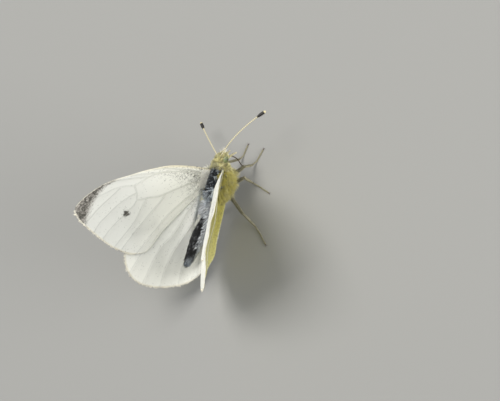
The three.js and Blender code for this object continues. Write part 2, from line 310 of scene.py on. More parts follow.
def scale_group():
    group = bpy.data.node_groups.new("Powder of scales", "ShaderNodeTree")
    add_sockets(group, "INPUT", [
        ("Tone", "Color", (0.8, 0.8, 0.75, 1)),
        ("Dust", "Float", 0.0),
        ("Dark", "Color", (0.03, 0.03, 0.03, 1)),
        ("Cells", "Float", 7000.0),
    ])
    add_sockets(group, "OUTPUT", [("Color", "Color", None), ("Height", "Float", None)])
    nodes, link = group.nodes, group.links.new
    given = nodes.new("NodeGroupInput")
    out = nodes.new("NodeGroupOutput")
    place = nodes.new("ShaderNodeTexCoord")
    cells = nodes.new("ShaderNodeTexVoronoi")
    link(place.outputs["Object"], cells.inputs["Vector"])
    link(given.outputs["Cells"], cells.inputs["Scale"])
    chance = nodes.new("ShaderNodeSeparateColor")
    link(cells.outputs["Color"], chance.inputs["Color"])
    drift = nodes.new("ShaderNodeTexNoise")
    drift.inputs["Scale"].default_value = 2600
    drift.inputs["Detail"].default_value = 2
    link(place.outputs["Object"], drift.inputs["Vector"])
    patchy = nodes.new("ShaderNodeMapRange")
    patchy.inputs["From Min"].default_value = 0.32
    patchy.inputs["From Max"].default_value = 0.68
    patchy.inputs["To Min"].default_value = 0.5
    patchy.inputs["To Max"].default_value = 1.45
    link(drift.outputs["Fac"], patchy.inputs["Value"])
    share = nodes.new("ShaderNodeMath")
    share.operation = "MULTIPLY"
    link(given.outputs["Dust"], share.inputs[0])
    link(patchy.outputs["Result"], share.inputs[1])
    dark = nodes.new("ShaderNodeMath")
    dark.operation = "LESS_THAN"
    link(chance.outputs["Red"], dark.inputs[0])
    link(share.outputs[0], dark.inputs[1])
    blend = nodes.new("ShaderNodeMix")
    blend.data_type = "RGBA"
    link(dark.outputs[0], blend.inputs["Factor"])
    link(given.outputs["Tone"], blend.inputs[6])
    link(given.outputs["Dark"], blend.inputs[7])
    link(blend.outputs[2], out.inputs["Color"])
    link(cells.outputs["Distance"], out.inputs["Height"])
    return group


SCALES = scale_group()

# %% [markdown]
# Every finish reads its colour from the points of its own piece, so that one plain material can
# serve hair, veins, feelers, legs and eyes, and only the wings and skin add the scale pattern.

# %% Materials
def plain(name, roughness, sheen=0.0, specular=0.5):
    """A material whose colour comes from the piece's own points, and its shader."""
    material = bpy.data.materials.new(name)
    material.use_nodes = True
    shader = material.node_tree.nodes["Principled BSDF"]
    shader.inputs["Roughness"].default_value = roughness
    shader.inputs["Sheen Weight"].default_value = sheen
    shader.inputs["Specular IOR Level"].default_value = specular
    tone = material.node_tree.nodes.new("ShaderNodeAttribute")
    tone.attribute_name = "tone"
    material.node_tree.links.new(tone.outputs["Color"], shader.inputs["Base Color"])
    return material, shader, tone


def wing_material(name, cells, dark):
    material, shader, tone = plain(name, 0.62, sheen=0.15, specular=0.3)
    nodes, link = material.node_tree.nodes, material.node_tree.links.new
    dust = nodes.new("ShaderNodeAttribute")
    dust.attribute_name = "dust"
    powder = nodes.new("ShaderNodeGroup")
    powder.node_tree = SCALES
    powder.inputs["Cells"].default_value = cells
    powder.inputs["Dark"].default_value = (*colour(dark), 1)
    link(tone.outputs["Color"], powder.inputs["Tone"])
    link(dust.outputs["Fac"], powder.inputs["Dust"])
    link(powder.outputs["Color"], shader.inputs["Base Color"])
    bump = nodes.new("ShaderNodeBump")
    bump.inputs["Strength"].default_value = 0.25
    bump.inputs["Distance"].default_value = 0.00004
    link(powder.outputs["Height"], bump.inputs["Height"])
    link(bump.outputs["Normal"], shader.inputs["Normal"])
    return material


WING_FILM = wing_material("Wing scales", 16000, "#46443e")
SKIN = wing_material("Body scales", 9000, "#1d1e1f")
VEIN = plain("Vein", 0.6)[0]
HAIR = plain("Hair", 0.7, sheen=0.1, specular=0.3)[0]
FRINGE = plain("Fringe scales", 0.7)[0]
FEELER = plain("Feeler", 0.45)[0]
LEG = plain("Leg shell", 0.45)[0]
EYE, eye_shader, _ = plain("Eye", 0.22)
eye_shader.inputs["Coat Weight"].default_value = 0.2
eye_shader.inputs["Coat Roughness"].default_value = 0.1
print("materials:", len(bpy.data.materials))

# %% [markdown]
# ## The shape of a wing
# A wing is drawn flat, as distances out along its span and back along its chord, and then
# placed on the insect by one function that adds its slope, camber and droop. The hindwing lies
# just under the forewing and its inner part folds down along the abdomen. The right wings are
# the left ones mirrored, each swung a little, as a resting insect never holds them quite alike.
# The right forewing's front edge rolls under, and the right hindwing's hind edge waves.

# The sheet is pressed outwards where it passes along the abdomen, so the abdomen's measures
# come first.

# %% The abdomen, as place along the body, half width, middle height and half height
ABDOMEN = [
    (-14.1, 0.24, 0.5, 0.26), (-13.8, 0.5, 0.49, 0.55), (-13.1, 0.76, 0.47, 0.82),
    (-11.8, 1.0, 0.42, 1.1), (-9, 1.24, 0.35, 1.38), (-6, 1.28, 0.3, 1.4),
    (-3.6, 1.12, 0.25, 1.25), (-2.6, 0.75, 0.2, 0.9),
]
BEND_START, BEND_REACH, BEND = -6.0, 8.1, 0.6  # the hind part bends to the left
BESIDE = 0.2  # room left between the abdomen and a wing


def sideways(x):
    return BEND * (np.maximum(BEND_START - x, 0) / BEND_REACH) ** 2


def pressed(places):
    """How far places inside or close to the abdomen have to move to be clear of it."""
    rows = np.array(ABDOMEN)
    x = places[..., 0]
    half_width, middle, half_height = (np.interp(x, rows[:, 0], rows[:, k]) for k in (1, 2, 3))
    across = places[..., 1] - sideways(x)
    up = places[..., 2] - middle
    reach = np.hypot(across / (half_width + BESIDE), up / (half_height + BESIDE))
    grown = (reach**6 + 1) ** (1 / 6) / np.maximum(reach, 0.05) - 1
    grown = grown * step(-14.8, -14.0, x) * step(-0.8, -2.2, x)
    return np.stack([0 * x, across * grown, up * grown], axis=-1)


# %% [markdown]
# A wing is laid out flat, as distance out along its span and back along its chord. One function
# curves, folds and turns it and sets it on the body. Film, veins, fringe and the hair of the wing
# roots all use it, so they stay together.

# %% Placing a wing
WING_ROOT = np.array([2.1, 1.5, 2.1])
WING_RISE = math.radians(58)
WING_PITCH = math.radians(14)
WING_REACH = 22.0
ARCH = 0.5
DROOP_LEFT, DROOP_RIGHT = 0.5, 0.8
FRONT_ROLL, ROLL_WIDTH = 0.5, 1.5
CURL_START, CURL_REACH, CURL_DROP = 12.0, 9.0, 0.8
FOLD_LINE, FOLD_WIDTH, FOLD_ANGLE = -0.5, 1.2, math.radians(26)
HINGE_CHORD = 1.5
AHEAD = np.array([math.cos(WING_PITCH), 0, math.sin(WING_PITCH)])
OUTWARD = np.array([
    -math.sin(WING_RISE) * math.sin(WING_PITCH),
    math.cos(WING_RISE),
    math.sin(WING_RISE) * math.cos(WING_PITCH),
])
UPPER = np.cross(AHEAD, OUTWARD)

FOREWING = {
    "name": "forewing", "middle": (9, 7.5), "layer": 0.0, "folds": False,
    "swing_right": math.radians(-16), "shift_right": 0.0,
    "outline": [
        (-1.7, 0.9), (0, 0.4), (3.2, 0.25), (6.6, 0.5), (9.9, 1.4), (13.1, 2.6), (16.3, 3.9),
        (18.9, 5.6), (20.8, 7.4), (21.6, 8.9), (20.6, 10.5), (17.5, 12.7), (14.6, 14.4),
        (11.8, 15.4), (9.6, 15.5), (7.9, 14.8), (6.1, 11.6), (3.9, 8.7), (1.6, 5.8),
        (-0.4, 3.9), (-1.7, 2.6),
    ],
}
HINDWING = {
    "name": "hindwing", "middle": (4, 11.5), "layer": -0.14, "folds": True,
    "swing_right": math.radians(-6), "shift_right": 2.0,
    "outline": [
        (-2.6, 3), (-4.3, 5.4), (-5, 9), (-5.1, 13), (-4.5, 16.2), (-2.4, 18.5), (0.4, 20.3),
        (3.9, 21.1), (7.2, 20.9), (9.5, 19.8), (11.1, 17.8), (11.8, 15.3), (11.4, 12.4),
        (10.2, 9.4), (7.6, 6.6), (4.3, 4.1), (1.2, 2.5), (-0.9, 2.1),
    ],
}


def right_bend(wing, span, chord):
    """Height that the right wings have over the mirrored left ones."""
    if wing is HINDWING:
        return -0.12 + 0.45 * step(13, 17, chord) * np.cos(math.pi * (span - 3) / 8)
    costa = np.array(wing["outline"][:10], float)
    back = np.maximum(chord - np.interp(span, costa[:, 0], costa[:, 1]), 0)
    roll = FRONT_ROLL * np.exp(-((back / ROLL_WIDTH) ** 2)) * (1 - 0.4 * step(8, 18, span))
    ridge = 0.2 * np.exp(-(((chord - 2.5) / 4) ** 2) - (span / 9) ** 2)
    hem = 0.36 * step(9, 11.5, span) * step(9, 12, chord)
    return 0.17 + ridge - roll - hem


def sheet(wing, side, span, chord, lift):
    """Places on a wing's smooth sheet, before it is pressed aside by the abdomen."""
    rise = wing["layer"] + ARCH * np.sin(math.pi * np.clip(chord / WING_REACH, 0, 1))
    rise = rise - CURL_DROP * (np.maximum(chord - CURL_START, 0) / CURL_REACH) ** 2
    droop = DROOP_LEFT if side > 0 else DROOP_RIGHT
    rise = rise - droop * (span / WING_REACH) ** 2
    inward = np.maximum(FOLD_LINE - span, 0) * wing["folds"]
    tilt = FOLD_ANGLE * np.minimum(inward / FOLD_WIDTH, 1)
    bend_radius = FOLD_WIDTH / FOLD_ANGLE
    straight = np.maximum(inward - FOLD_WIDTH, 0)
    folded = FOLD_LINE - bend_radius * np.sin(tilt) - straight * np.cos(tilt)
    along = np.where(inward > 0, folded, span)
    rise = rise - bend_radius * (1 - np.cos(tilt)) - straight * np.sin(tilt)
    places = (
        WING_ROOT
        + OUTWARD * (along - lift * np.sin(tilt))[..., None]
        - AHEAD * chord[..., None]
        + UPPER * (rise + lift * np.cos(tilt))[..., None]
    )
    places[..., 1] *= side
    return places


def wing_place(wing, side, span, chord, lift=0.0):
    """Places on a wing, lift millimetres above its middle layer. side is 1 left, -1 right."""
    span, chord, lift = (np.asarray(v, float) for v in np.broadcast_arrays(span, chord, lift))
    if side < 0:
        lift = lift + right_bend(wing, span, chord)
        turn, back = wing["swing_right"], chord - HINGE_CHORD
        span, chord = (
            span * math.cos(turn) - back * math.sin(turn),
            HINGE_CHORD + span * math.sin(turn) + back * math.cos(turn) - wing["shift_right"],
        )
    return sheet(wing, side, span, chord, lift) + pressed(sheet(wing, side, span, chord, 0 * lift))


# %% [markdown]
# ## Veins
# Hollow ribs hold the film open. All veins of the forewing leave the root, most of them along
# a long cell, and fan out to the margin. Between them the film sags a little, which gives the
# wing its soft pleats, so the veins are listed first.

# %% The veins of each wing
FOREWING["veins"] = [
    [(-0.6, 1.2), (1.0, 1.2), (4, 1.0), (7, 1.05), (9.3, 1.35)],
    [(-0.4, 1.3), (1.0, 1.8), (2.5, 1.4), (5.4, 1.4), (7.1, 1.6), (8.8, 2.2), (10, 2.9),
     (11.9, 4.2), (13.5, 4.5), (15.2, 5.1), (16.7, 6.0), (18.7, 7.2), (20.6, 8.5)],
    [(6.5, 1.55), (9.5, 2.1), (12.7, 2.7)],
    [(9.5, 2.6), (12.6, 3.2), (15.9, 4.0)],
    [(14.3, 5.0), (15.5, 6.4), (16.5, 7.5), (17.5, 8.7), (18.6, 10.3), (19.2, 11.2)],
    [(11.3, 5.4), (12.4, 6.1), (13.6, 7.1), (14.7, 8.2), (15.8, 9.6), (16.8, 10.9), (17.4, 12.4)],
    [(11.1, 6.6), (11.6, 7.6), (12.8, 9.2), (13.8, 10.3), (14.9, 11.8), (15.8, 13.4)],
    [(-0.6, 1.9), (0.8, 2.8), (2.0, 2.9), (3.3, 3.5), (4.9, 4.3), (6.4, 5.1), (7.8, 5.7),
     (9.5, 6.1), (11.1, 6.6)],
    [(9.5, 6.1), (9.9, 7.0), (10.2, 8.0), (10.9, 10.0), (11.8, 11.6), (12.9, 13.4), (13.6, 14.6)],
    [(6.4, 5.1), (7.2, 6.6), (8.3, 8.2), (9.2, 9.6), (10.3, 11.3), (11.4, 13.2), (12.4, 15.1)],
    [(-0.4, 2.4), (0.7, 3.5), (1.7, 4.7), (2.8, 5.7), (4.4, 7.3), (5.9, 9.1), (6.8, 10.6),
     (7.9, 12.3), (8.8, 13.9), (9.7, 15.5)],
    [(11.9, 4.2), (11.35, 5.4), (11.1, 6.6)],
]
HINDWING["veins"] = [
    [(-0.3, 2.5), (0.6, 3.1), (6, 6.0), (10.2, 10.3)],
    [(-0.2, 3.0), (1.2, 5.0), (7, 10.5), (11.5, 14.0)],
    [(5.4, 9.2), (7, 11), (9.3, 13.3), (11.7, 15.9)],
    [(5.4, 9.2), (6.5, 11.6), (8.0, 14.1), (8.8, 15.4), (9.4, 16.9), (10.2, 19.2)],
    [(0.4, 4.4), (1.8, 7.1), (2.6, 8.6), (3.6, 10.9), (4.4, 12.3), (5.6, 13.8), (6.3, 15.6),
     (6.8, 17.6), (7.4, 20.6)],
    [(-0.4, 3.4), (0.3, 6.6), (0.5, 7.8), (0.9, 9.5), (1.7, 11.1), (2.5, 12.5), (3.5, 14.7),
     (3.9, 16.4), (4.2, 17.8), (4.3, 20.8)],
    [(0.9, 9.5), (0.7, 12.5), (1.0, 15.0), (1.3, 17.3), (1.2, 20.2)],
    [(-0.9, 3.2), (-1.1, 8), (-1.2, 13), (-1.4, 16.1), (-1.9, 18.5)],
    [(-1.5, 3.4), (-2.6, 7), (-3.1, 11), (-3.3, 15)],
]
VEIN_BASE, VEIN_TIP = 0.08, 0.052  # radii of a vein at the root and at the margin

# %% [markdown]
# ## The outline and the film
# The outline's smooth ring is split where the span is least and most, into a front and a back
# edge. A flat grid, given a second layer by solidify, is stretched between the two edges and
# then set on the insect. The fringe of scales stands past the film, so the film is drawn in.

# %% Edges of the film
FILM_SHARE = 0.978  # of the full outline that the film takes behind; the rest is fringe
FRONT_SHARE = 0.995
FILM_HALF = 0.035  # half the film's thickness with its scales


def edges_of(wing, share=FILM_SHARE):
    """The front and the back edge of a wing, each with its span rising."""
    middle = np.array(wing["middle"], float)
    away = np.array(wing["outline"], float) - middle
    front = FRONT_SHARE + (share - FRONT_SHARE) * step(-4, 1, away[:, 1])
    outline = middle + away * front[:, None]
    ring = through([*outline, *outline, outline[0]], 1800)
    low = int(np.argmin(ring[:900, 0]))
    high = low + int(np.argmax(ring[low:low + 900, 0]))
    low_again = high + int(np.argmin(ring[high:high + 900, 0]))
    one, other = ring[low:high + 1], ring[high:low_again + 1][::-1]
    return (one, other) if one[:, 1].mean() < other[:, 1].mean() else (other, one)


def chord_at(edge, span):
    return np.interp(span, np.maximum.accumulate(edge[:, 0]), edge[:, 1])


def distance_to(lines, span, chord):
    """How far each place is from the nearest of the lines."""
    least = np.full(span.shape, np.inf)
    for line in lines:
        fine = through(line, 90)
        gap = np.hypot(span[:, None] - fine[:, 0], chord[:, None] - fine[:, 1])
        least = np.minimum(least, gap.min(axis=1))
    return least


# %% [markdown]
# ## The colours of the wings
# Above, the small white is cream white with grey powder at the roots, a grey brown tip and,
# on the male, one black spot. Below, the tip and the whole hindwing are pale yellow with a
# fine grey dusting, and the forewing has two black spots, which show faintly from above.

# %% Colours and dust
WHITE, COOL_WHITE, CREAM = colour("#eeeee5"), colour("#e8e9e3"), colour("#ece4ca")
APEX_GREY = colour("#8f8379")
PALE_YELLOW, COSTA_TAN, VEIN_GREY = colour("#d9d59a"), colour("#d6ccaa"), colour("#b4b4a6")
HIND_YELLOW, HIND_PALE = colour("#a9a149"), colour("#cac580")
APEX_EDGE = [(15.2, 3.4), (17.1, 4.7), (17.9, 5.7), (18.5, 6.8), (19.0, 8.1), (19.6, 11.5)]
UPPER_SPOT, LOWER_SPOT = (12.7, 8.8), (9.1, 11.1)


def spot(span, chord, centre, radius):
    """A round spot with a ragged edge, 1 in the middle and 0 outside."""
    away_x, away_y = span - centre[0], chord - centre[1]
    turn = np.arctan2(away_y, away_x)
    ragged = 1 + 0.13 * np.cos(5 * turn + 0.6) + 0.1 * np.cos(3 * turn)
    inside = 1 - step(0.1 * radius, 1.2 * radius, np.hypot(away_x, away_y) * ragged)
    return inside + 1.2 * inside**4


def forewing_upper(span, chord, edge, vein):
    edge_chord = np.array([c for _, c in APEX_EDGE])
    beyond = span - np.interp(chord, edge_chord, [s for s, _ in APEX_EDGE])
    apex = step(-0.8, 0.6, beyond) * step(0.0, 0.2, edge)
    tip = apex * (0.82 - 0.36 * step(0.8, 2.4, beyond))
    root = 0.42 * np.exp(-((np.hypot(span - 0.6, chord - 2.3) / 2.6) ** 2))
    front = 0.15 * np.exp(-(((chord - 1.6) / 1.1) ** 2)) * (1 - step(5, 12, span))
    dust = 0.006 + tip + 0.9 * spot(span, chord, UPPER_SPOT, 0.72) + root + front
    # The underside's lower spot shows faintly through the film, painted as a soft grey smudge.
    show_through_gap = distance_to([[(7.6, 10.2), (9.2, 11.3), (10.7, 12.1)]], span, chord)
    # Towards the tip the white turns cooler and darker: painted shade, as the outer part faces the lamps
    # more squarely than the rest.
    tone = mixed(WHITE, COOL_WHITE, step(4, 14, span)) * (1 - 0.2 * step(7, 18, span))[:, None]
    tone = mixed(tone, APEX_GREY, 0.62 * apex)
    # Painted shade along one side of each vein, where a raised rib would shade the film, with the painted
    # smudge of the spot below.
    vein_shade_and_show_through = 0.09 * np.exp(-((show_through_gap / 0.8) ** 2)) + 0.3 * np.exp(-((vein / 0.11) ** 2))
    tone = tone * (1 - vein_shade_and_show_through)[:, None]
    costa = (1 - step(0.1, 0.55, edge)) * (1 - step(5, 12, span)) * (chord < 2.2)
    tone = mixed(tone, COSTA_TAN, 0.75 * costa)
    hem = 0.5 * (1 - step(0.0, 0.3, edge)) * step(6, 10, span) * (1 - apex)
    return mixed(tone, CREAM, hem), dust


def forewing_under(span, chord, edge, vein):
    tip = step(12.5, 17.5, span + 0.25 * (chord - 8))
    root = 0.35 * np.exp(-((np.hypot(span - 0.6, chord - 2.0) / 3.5) ** 2))
    spots = spot(span, chord, UPPER_SPOT, 0.85) + spot(span, chord, LOWER_SPOT, 0.8)
    dust = 0.85 * spots + root + 0.07 * tip
    tone = mixed(mixed(WHITE, CREAM, 0.35 + 0 * span), PALE_YELLOW, 0.85 * tip)
    costa = (1 - step(0.1, 0.7, edge)) * (1 - step(9, 16, span)) * (chord < 3)
    return mixed(tone, PALE_YELLOW, 0.8 * costa), dust


def hindwing_upper(span, chord, edge, vein):
    root = 0.3 * np.exp(-((np.hypot(span + 0.6, chord - 4) / 3.0) ** 2))
    inner = 0.006 + 0.03 * (1 - step(-2.2, 0.2, span))
    # Lighter towards the hind margin: painted light where the film curls down away from the lamps.
    tone = mixed(COOL_WHITE, WHITE, step(12, 20, chord))
    # Painted light near the abdomen, where the film bends along the body away from the lamps.
    painted_light_by_abdomen = 0.8 * np.exp(-(((span - 0.8) / 2) ** 2)) * step(17, 13, chord)
    tone = mixed(tone, np.array((1, 1, 0.97)), painted_light_by_abdomen)
    # Painted shade along one side of each vein, where a raised rib would shade the film.
    tone = tone * (1 - 0.24 * np.exp(-((vein / 0.11) ** 2)))[:, None]
    return mixed(tone, CREAM, 0.5 * (1 - step(0.0, 0.35, edge))), root + inner


def hindwing_under(span, chord, edge, vein):
    cell = np.exp(-((np.hypot((span - 2.5) / 1.4, chord - 9) / 4) ** 2))
    dust = 0.13 + 0.14 * cell
    tone = mixed(HIND_YELLOW, HIND_PALE, step(9, 20, chord))
    return mixed(tone, HIND_PALE, 0.75 * (1 - step(0.15, 0.7, edge))), dust


FOREWING["looks"] = (forewing_upper, forewing_under)
HINDWING["looks"] = (hindwing_upper, hindwing_under)

# %% [markdown]
# The film starts as a flat grid with a thickness. Each point is then moved between the wing's
# edges, lifted by the pleats and set on the body, and the upper and lower sides take their own
# colours.

# %% Making the film of one wing
FILM_COLUMNS, FILM_ROWS = 170, 96
FOREWING["pleat"], HINDWING["pleat"] = 0.034, 0.06  # how far the film sags between its veins


def film_grid():
    """A flat slab of two layers, with its grid shares in x and y and its layer in z."""
    bm = bmesh.new()
    bmesh.ops.create_grid(bm, x_segments=FILM_COLUMNS, y_segments=FILM_ROWS, size=1)
    bmesh.ops.solidify(bm, geom=bm.faces[:], thickness=1)
    bmesh.ops.recalc_face_normals(bm, faces=bm.faces)
    return mesh_from(bm, "film")


def eased(share):
    """Grid columns crowd towards both ends, where the outline turns."""
    share = 0.004 + 0.992 * share
    return (share + (1 - np.cos(math.pi * share)) / 2) / 2


def pleated(wing, span, chord):
    """The film's sag between the veins, and a slow ripple along the margin."""
    vein = distance_to(wing["veins"], span, chord)
    ripple = 0.018 * np.sin(1.7 * span + 0.6 * chord) * step(6, 14, chord)
    return ripple - wing["pleat"] * (1 - np.exp(-((vein / 0.5) ** 2))), vein


def film(wing, side):
    mesh = film_grid()
    flat = spots_of(mesh)
    share = (flat - flat.min(axis=0)) / np.ptp(flat, axis=0)
    over = share[:, 2] > 0.5
    front, back = edges_of(wing)
    low, high = front[0, 0], front[-1, 0]
    span = low + (high - low) * eased(share[:, 0])
    near, far = chord_at(front, span), chord_at(back, span)
    if side < 0 and wing is FOREWING:  # its root shows further forward
        near = near - 0.5 * np.exp(-((span / 1.3) ** 2))
    chord = near + (far - near) * share[:, 1]
    sag, _ = pleated(wing, span, chord)
    edge = distance_to([front[::12], back[::12]], span, chord)
    # Distance from a line just beside each vein; the upper sides paint shade along it, as on the shaded
    # flank of a raised rib.
    vein_shade_gap = distance_to(wing["veins"], span - 0.1, chord + 0.08)
    if wing is FOREWING:  # the inner margin rests on the hindwing
        sag = sag - 0.07 * np.exp(-(((far - chord) / 0.5) ** 2)) * (1 - step(7, 9, span))
    set_spots(mesh, wing_place(wing, side, span, chord, sag + np.where(over, 1, -1) * FILM_HALF))
    bm = bmesh.new()
    bm.from_mesh(mesh)
    bmesh.ops.recalc_face_normals(bm, faces=bm.faces)
    bm.to_mesh(mesh)
    bm.free()
    upper_tone, upper_dust = wing["looks"][0](span, chord, edge, vein_shade_gap)
    under_tone, under_dust = wing["looks"][1](span, chord, edge, vein_shade_gap)
    # The right wings' upper sides are painted lighter and with much less dust: painted light on faces that
    # the lamps reach only at a grazing angle.
    if side < 0:
        upper_tone = mixed(upper_tone, WHITE, 0.8 + 0 * span) * 1.1
    tone = np.where(over[:, None], upper_tone, under_tone)
    dust = np.where(over, upper_dust * (1 if side > 0 else 0.15), under_dust)
    bake = mesh.uv_layers.new(name="OFBake")
    half = np.where(over, 0.01, 0.51)
    places = np.stack([half + 0.48 * share[:, 0], 0.01 + 0.98 * share[:, 1]], axis=1)
    corners = np.empty(len(mesh.loops), np.int32)
    mesh.loops.foreach_get("vertex_index", corners)
    bake.data.foreach_set("uv", places[corners].astype(np.float32).ravel())
    name = f"{wing['name']}_{'left' if side > 0 else 'right'}"
    return piece(f"film_{name}", mesh, WING_FILM, "wing", name, tone=tone, dust=dust)


def vein_set(wing, side):
    lines, tones = [], []
    for row in wing["veins"]:
        flat = through(row, 48)
        reach = np.hypot(flat[:, 0], flat[:, 1] - 2) / WING_REACH
        radius = VEIN_BASE + (VEIN_TIP - VEIN_BASE) * np.clip(reach, 0, 1)
        radius = radius * (0.62 if row is wing["veins"][-1] else 1)
        sag, _ = pleated(wing, flat[:, 0], flat[:, 1])
        lines.append(np.c_[wing_place(wing, side, flat[:, 0], flat[:, 1], sag), radius])
        far = np.full(len(flat), 9.0)
        tone, dust = wing["looks"][0](flat[:, 0], flat[:, 1], far, far)
        tone = mixed(tone, VEIN_GREY, 0.75 * (1 - np.minimum(1.2 * reach, 0.9)))
        grey = mixed(tone, colour("#5a564d"), np.minimum(0.7 * dust, 0.8))
        tones.append(grey)
    mesh, row = tubes(lines)
    name = f"{wing['name']}_{'left' if side > 0 else 'right'}"
    return piece(f"veins_{name}", mesh, VEIN, "wing", tone=np.vstack(tones)[row])


for wing in (FOREWING, HINDWING):
    for side in (1, -1):
        film(wing, side)
        vein_set(wing, side)

# %% [markdown]
# ## The fringe
# Long narrow scales stand out from the hind margins in a comb, cream and a little tan. They
# cling together in small teeth of uneven length, so the margin looks finely serrated.

# %% Fringe scales
FRINGE_LENGTH, FRINGE_WIDTH, FRINGE_STEP = 0.44, 0.07, 0.022
TOOTH = 0.26  # width of a tooth along the margin


def fringe(wing, side, rng):
    edge = edges_of(wing)[1]
    run = np.r_[0, np.cumsum(np.linalg.norm(np.diff(edge, axis=0), axis=1))]
    count = int(run[-1] / FRINGE_STEP)
    at = rng.uniform(0.2, run[-1] - 0.2, count)
    flat = np.column_stack([np.interp(at, run, edge[:, k]) for k in (0, 1)])
    ahead = np.column_stack([np.interp(at + 0.15, run, edge[:, k]) for k in (0, 1)])
    way = unit(ahead - flat)
    out = np.column_stack([-way[:, 1], way[:, 0]])
    sag, _ = pleated(wing, flat[:, 0], flat[:, 1])
    inner = flat - 0.08 * out
    roots = wing_place(wing, side, inner[:, 0], inner[:, 1], sag + rng.uniform(-0.04, 0.04, count))
    tips = wing_place(wing, side, flat[:, 0] + 0.1 * out[:, 0], flat[:, 1] + 0.1 * out[:, 1], sag)
    lie = unit(tips - wing_place(wing, side, inner[:, 0], inner[:, 1], sag))
    above = wing_place(wing, side, flat[:, 0], flat[:, 1], sag + 0.1)
    normals = unit(above - wing_place(wing, side, flat[:, 0], flat[:, 1], sag))
    outer = step(8.5, 10.5, flat[:, 0]) if wing is FOREWING else step(-3.5, 0.5, flat[:, 0])
    tooth = np.floor(at / TOOTH).astype(int)
    gap = np.abs(2 * (at / TOOTH - tooth) - 1)
    reach = rng.uniform(0.55, 1.15, tooth.max() + 1)[tooth] * (1.05 - 0.6 * gap**2)
    length = FRINGE_LENGTH * reach * (0.55 + 0.45 * outer)
    points = grow(roots, normals, lie, length, FRINGE_WIDTH, 0.06, rng, stray=0.1)
    darker = rng.uniform(0, 1, tooth.max() + 1)[tooth] ** 2
    tan = 0.7 * gap**2 * darker * outer
    tone = mixed(mixed(WHITE, colour("#f8f4e4"), outer), colour("#a8916a"), tan)
    patches = np.column_stack([at / run[-1], rng.uniform(0.2, 0.8, count)])
    name = f"{wing['name']}_{'left' if side > 0 else 'right'}"
    return coat(f"fringe_{name}", points, tone, patches, FRINGE, "wing")


for index, wing in enumerate((FOREWING, HINDWING)):
    for side in (1, -1):
        fringe(wing, side, np.random.default_rng(10 + 2 * index + side))

# %% [markdown]
# ## The body's skin
# Head, collar, thorax and abdomen are soft parts that run into one another, so they become one
# skin. Drums with given widths and heights, cut into rings, make the trunk and the abdomen, and
# balls make the head, the collar and the small lobes at the wings and the hips. A voxel remesh
# melts them together, and a few rounds of smoothing take away the marks of the voxels.
# The skin lies inside the solids by the depth of the coat.

# %% Shapes of the body, as place along the body, half width, middle height and half height
COAT_DEPTH = 0.34
SCALE_DEPTH = 0.1  # the flat coat of the abdomen
TRUNK = [
    (-3.3, 0.85, 0.1, 1.15), (-2.5, 1.5, -0.2, 1.95), (-1.3, 1.95, -0.55, 2.5),
    (0, 2.15, -0.65, 2.7), (1.3, 2.0, -0.45, 2.45), (2.4, 1.45, 0.15, 1.75), (3, 0.85, 0.5, 1.1),
]
LOBE, LOBE_HALF = (1.0, 1.5, 1.4), (0.85, 0.3, 0.42)
BALLS = [  # middle, then half sizes, already inside the coat
    ((2.95, 0, 0.85), (0.6, 0.85, 0.85)),  # collar
    ((3.74, 0.03, 1.0), (0.74, 0.76, 0.86)),  # head
    ((4.25, 0.03, 0.75), (0.42, 0.5, 0.6)),  # face between the eyes
    (LOBE, LOBE_HALF),  # lobes over the wing roots
    ((LOBE[0], -LOBE[1], LOBE[2]), LOBE_HALF),
    ((-1.9, 0, 1.35), (0.7, 0.8, 0.4)),  # rear shield of the thorax
]
HIPS = [(1.9, 0.9, -2.3), (0.5, 1.1, -2.7), (-1.2, 0.9, -2.7)]
VOXEL = 0.07


def drum(bm, rows, inset, sides=40, cuts=70):
    """A closed drum along the body, whose half sizes follow the rows less the inset."""
    before = len(bm.verts)
    made = bmesh.ops.create_cone(bm, cap_ends=True, segments=sides, radius1=1, radius2=1, depth=1)
    edges = {e for v in made["verts"] for e in v.link_edges}
    upright = [e for e in edges if abs(e.verts[0].co.z - e.verts[1].co.z) > 0.5]
    bmesh.ops.subdivide_edges(bm, edges=upright, cuts=cuts, use_grid_fill=True)
    line = through(rows, cuts + 2)
    bm.verts.ensure_lookup_table()
    for v in bm.verts[before:]:
        x, half_width, middle, half_height = line[round((v.co.z + 0.5) * (cuts + 1))]
        across, up = v.co.x, v.co.y
        v.co = (
            x,
            across * max(half_width - inset, 0.06),
            middle + up * max(half_height - inset, 0.06),
        )


bm = bmesh.new()
drum(bm, TRUNK, COAT_DEPTH)
drum(bm, ABDOMEN, SCALE_DEPTH)
balls = list(BALLS)
for x, y, z in HIPS:
    for hip_side in (1, -1):
        balls.append(((x, hip_side * y * 0.85, z + 0.35), (0.42, 0.42, 0.75)))
for middle, half in balls:
    shape = Matrix.Translation(middle) @ Matrix.Diagonal((*half, 1))
    bmesh.ops.create_uvsphere(bm, u_segments=32, v_segments=20, radius=1, matrix=shape)
bmesh.ops.recalc_face_normals(bm, faces=bm.faces)
rough = bpy.data.objects.new("rough", mesh_from(bm, "rough"))
bpy.context.scene.collection.objects.link(rough)
melt = rough.modifiers.new("melt", "REMESH")
melt.mode = "VOXEL"
melt.voxel_size = VOXEL
evaluated = rough.evaluated_get(bpy.context.evaluated_depsgraph_get())
skin_mesh = bpy.data.meshes.new_from_object(evaluated)
bpy.data.objects.remove(rough)

bm = bmesh.new()
bm.from_mesh(skin_mesh)
for _ in range(6):
    bmesh.ops.smooth_vert(
        bm, verts=bm.verts, factor=0.5, use_axis_x=True, use_axis_y=True, use_axis_z=True)
bm.to_mesh(skin_mesh)
bm.free()
print("skin:", len(skin_mesh.polygons), "faces")

# %% [markdown]
# ## Segments
# The abdomen is a row of overlapping rings. A shallow step at each ring's hind edge is enough,
# because scales cover it.

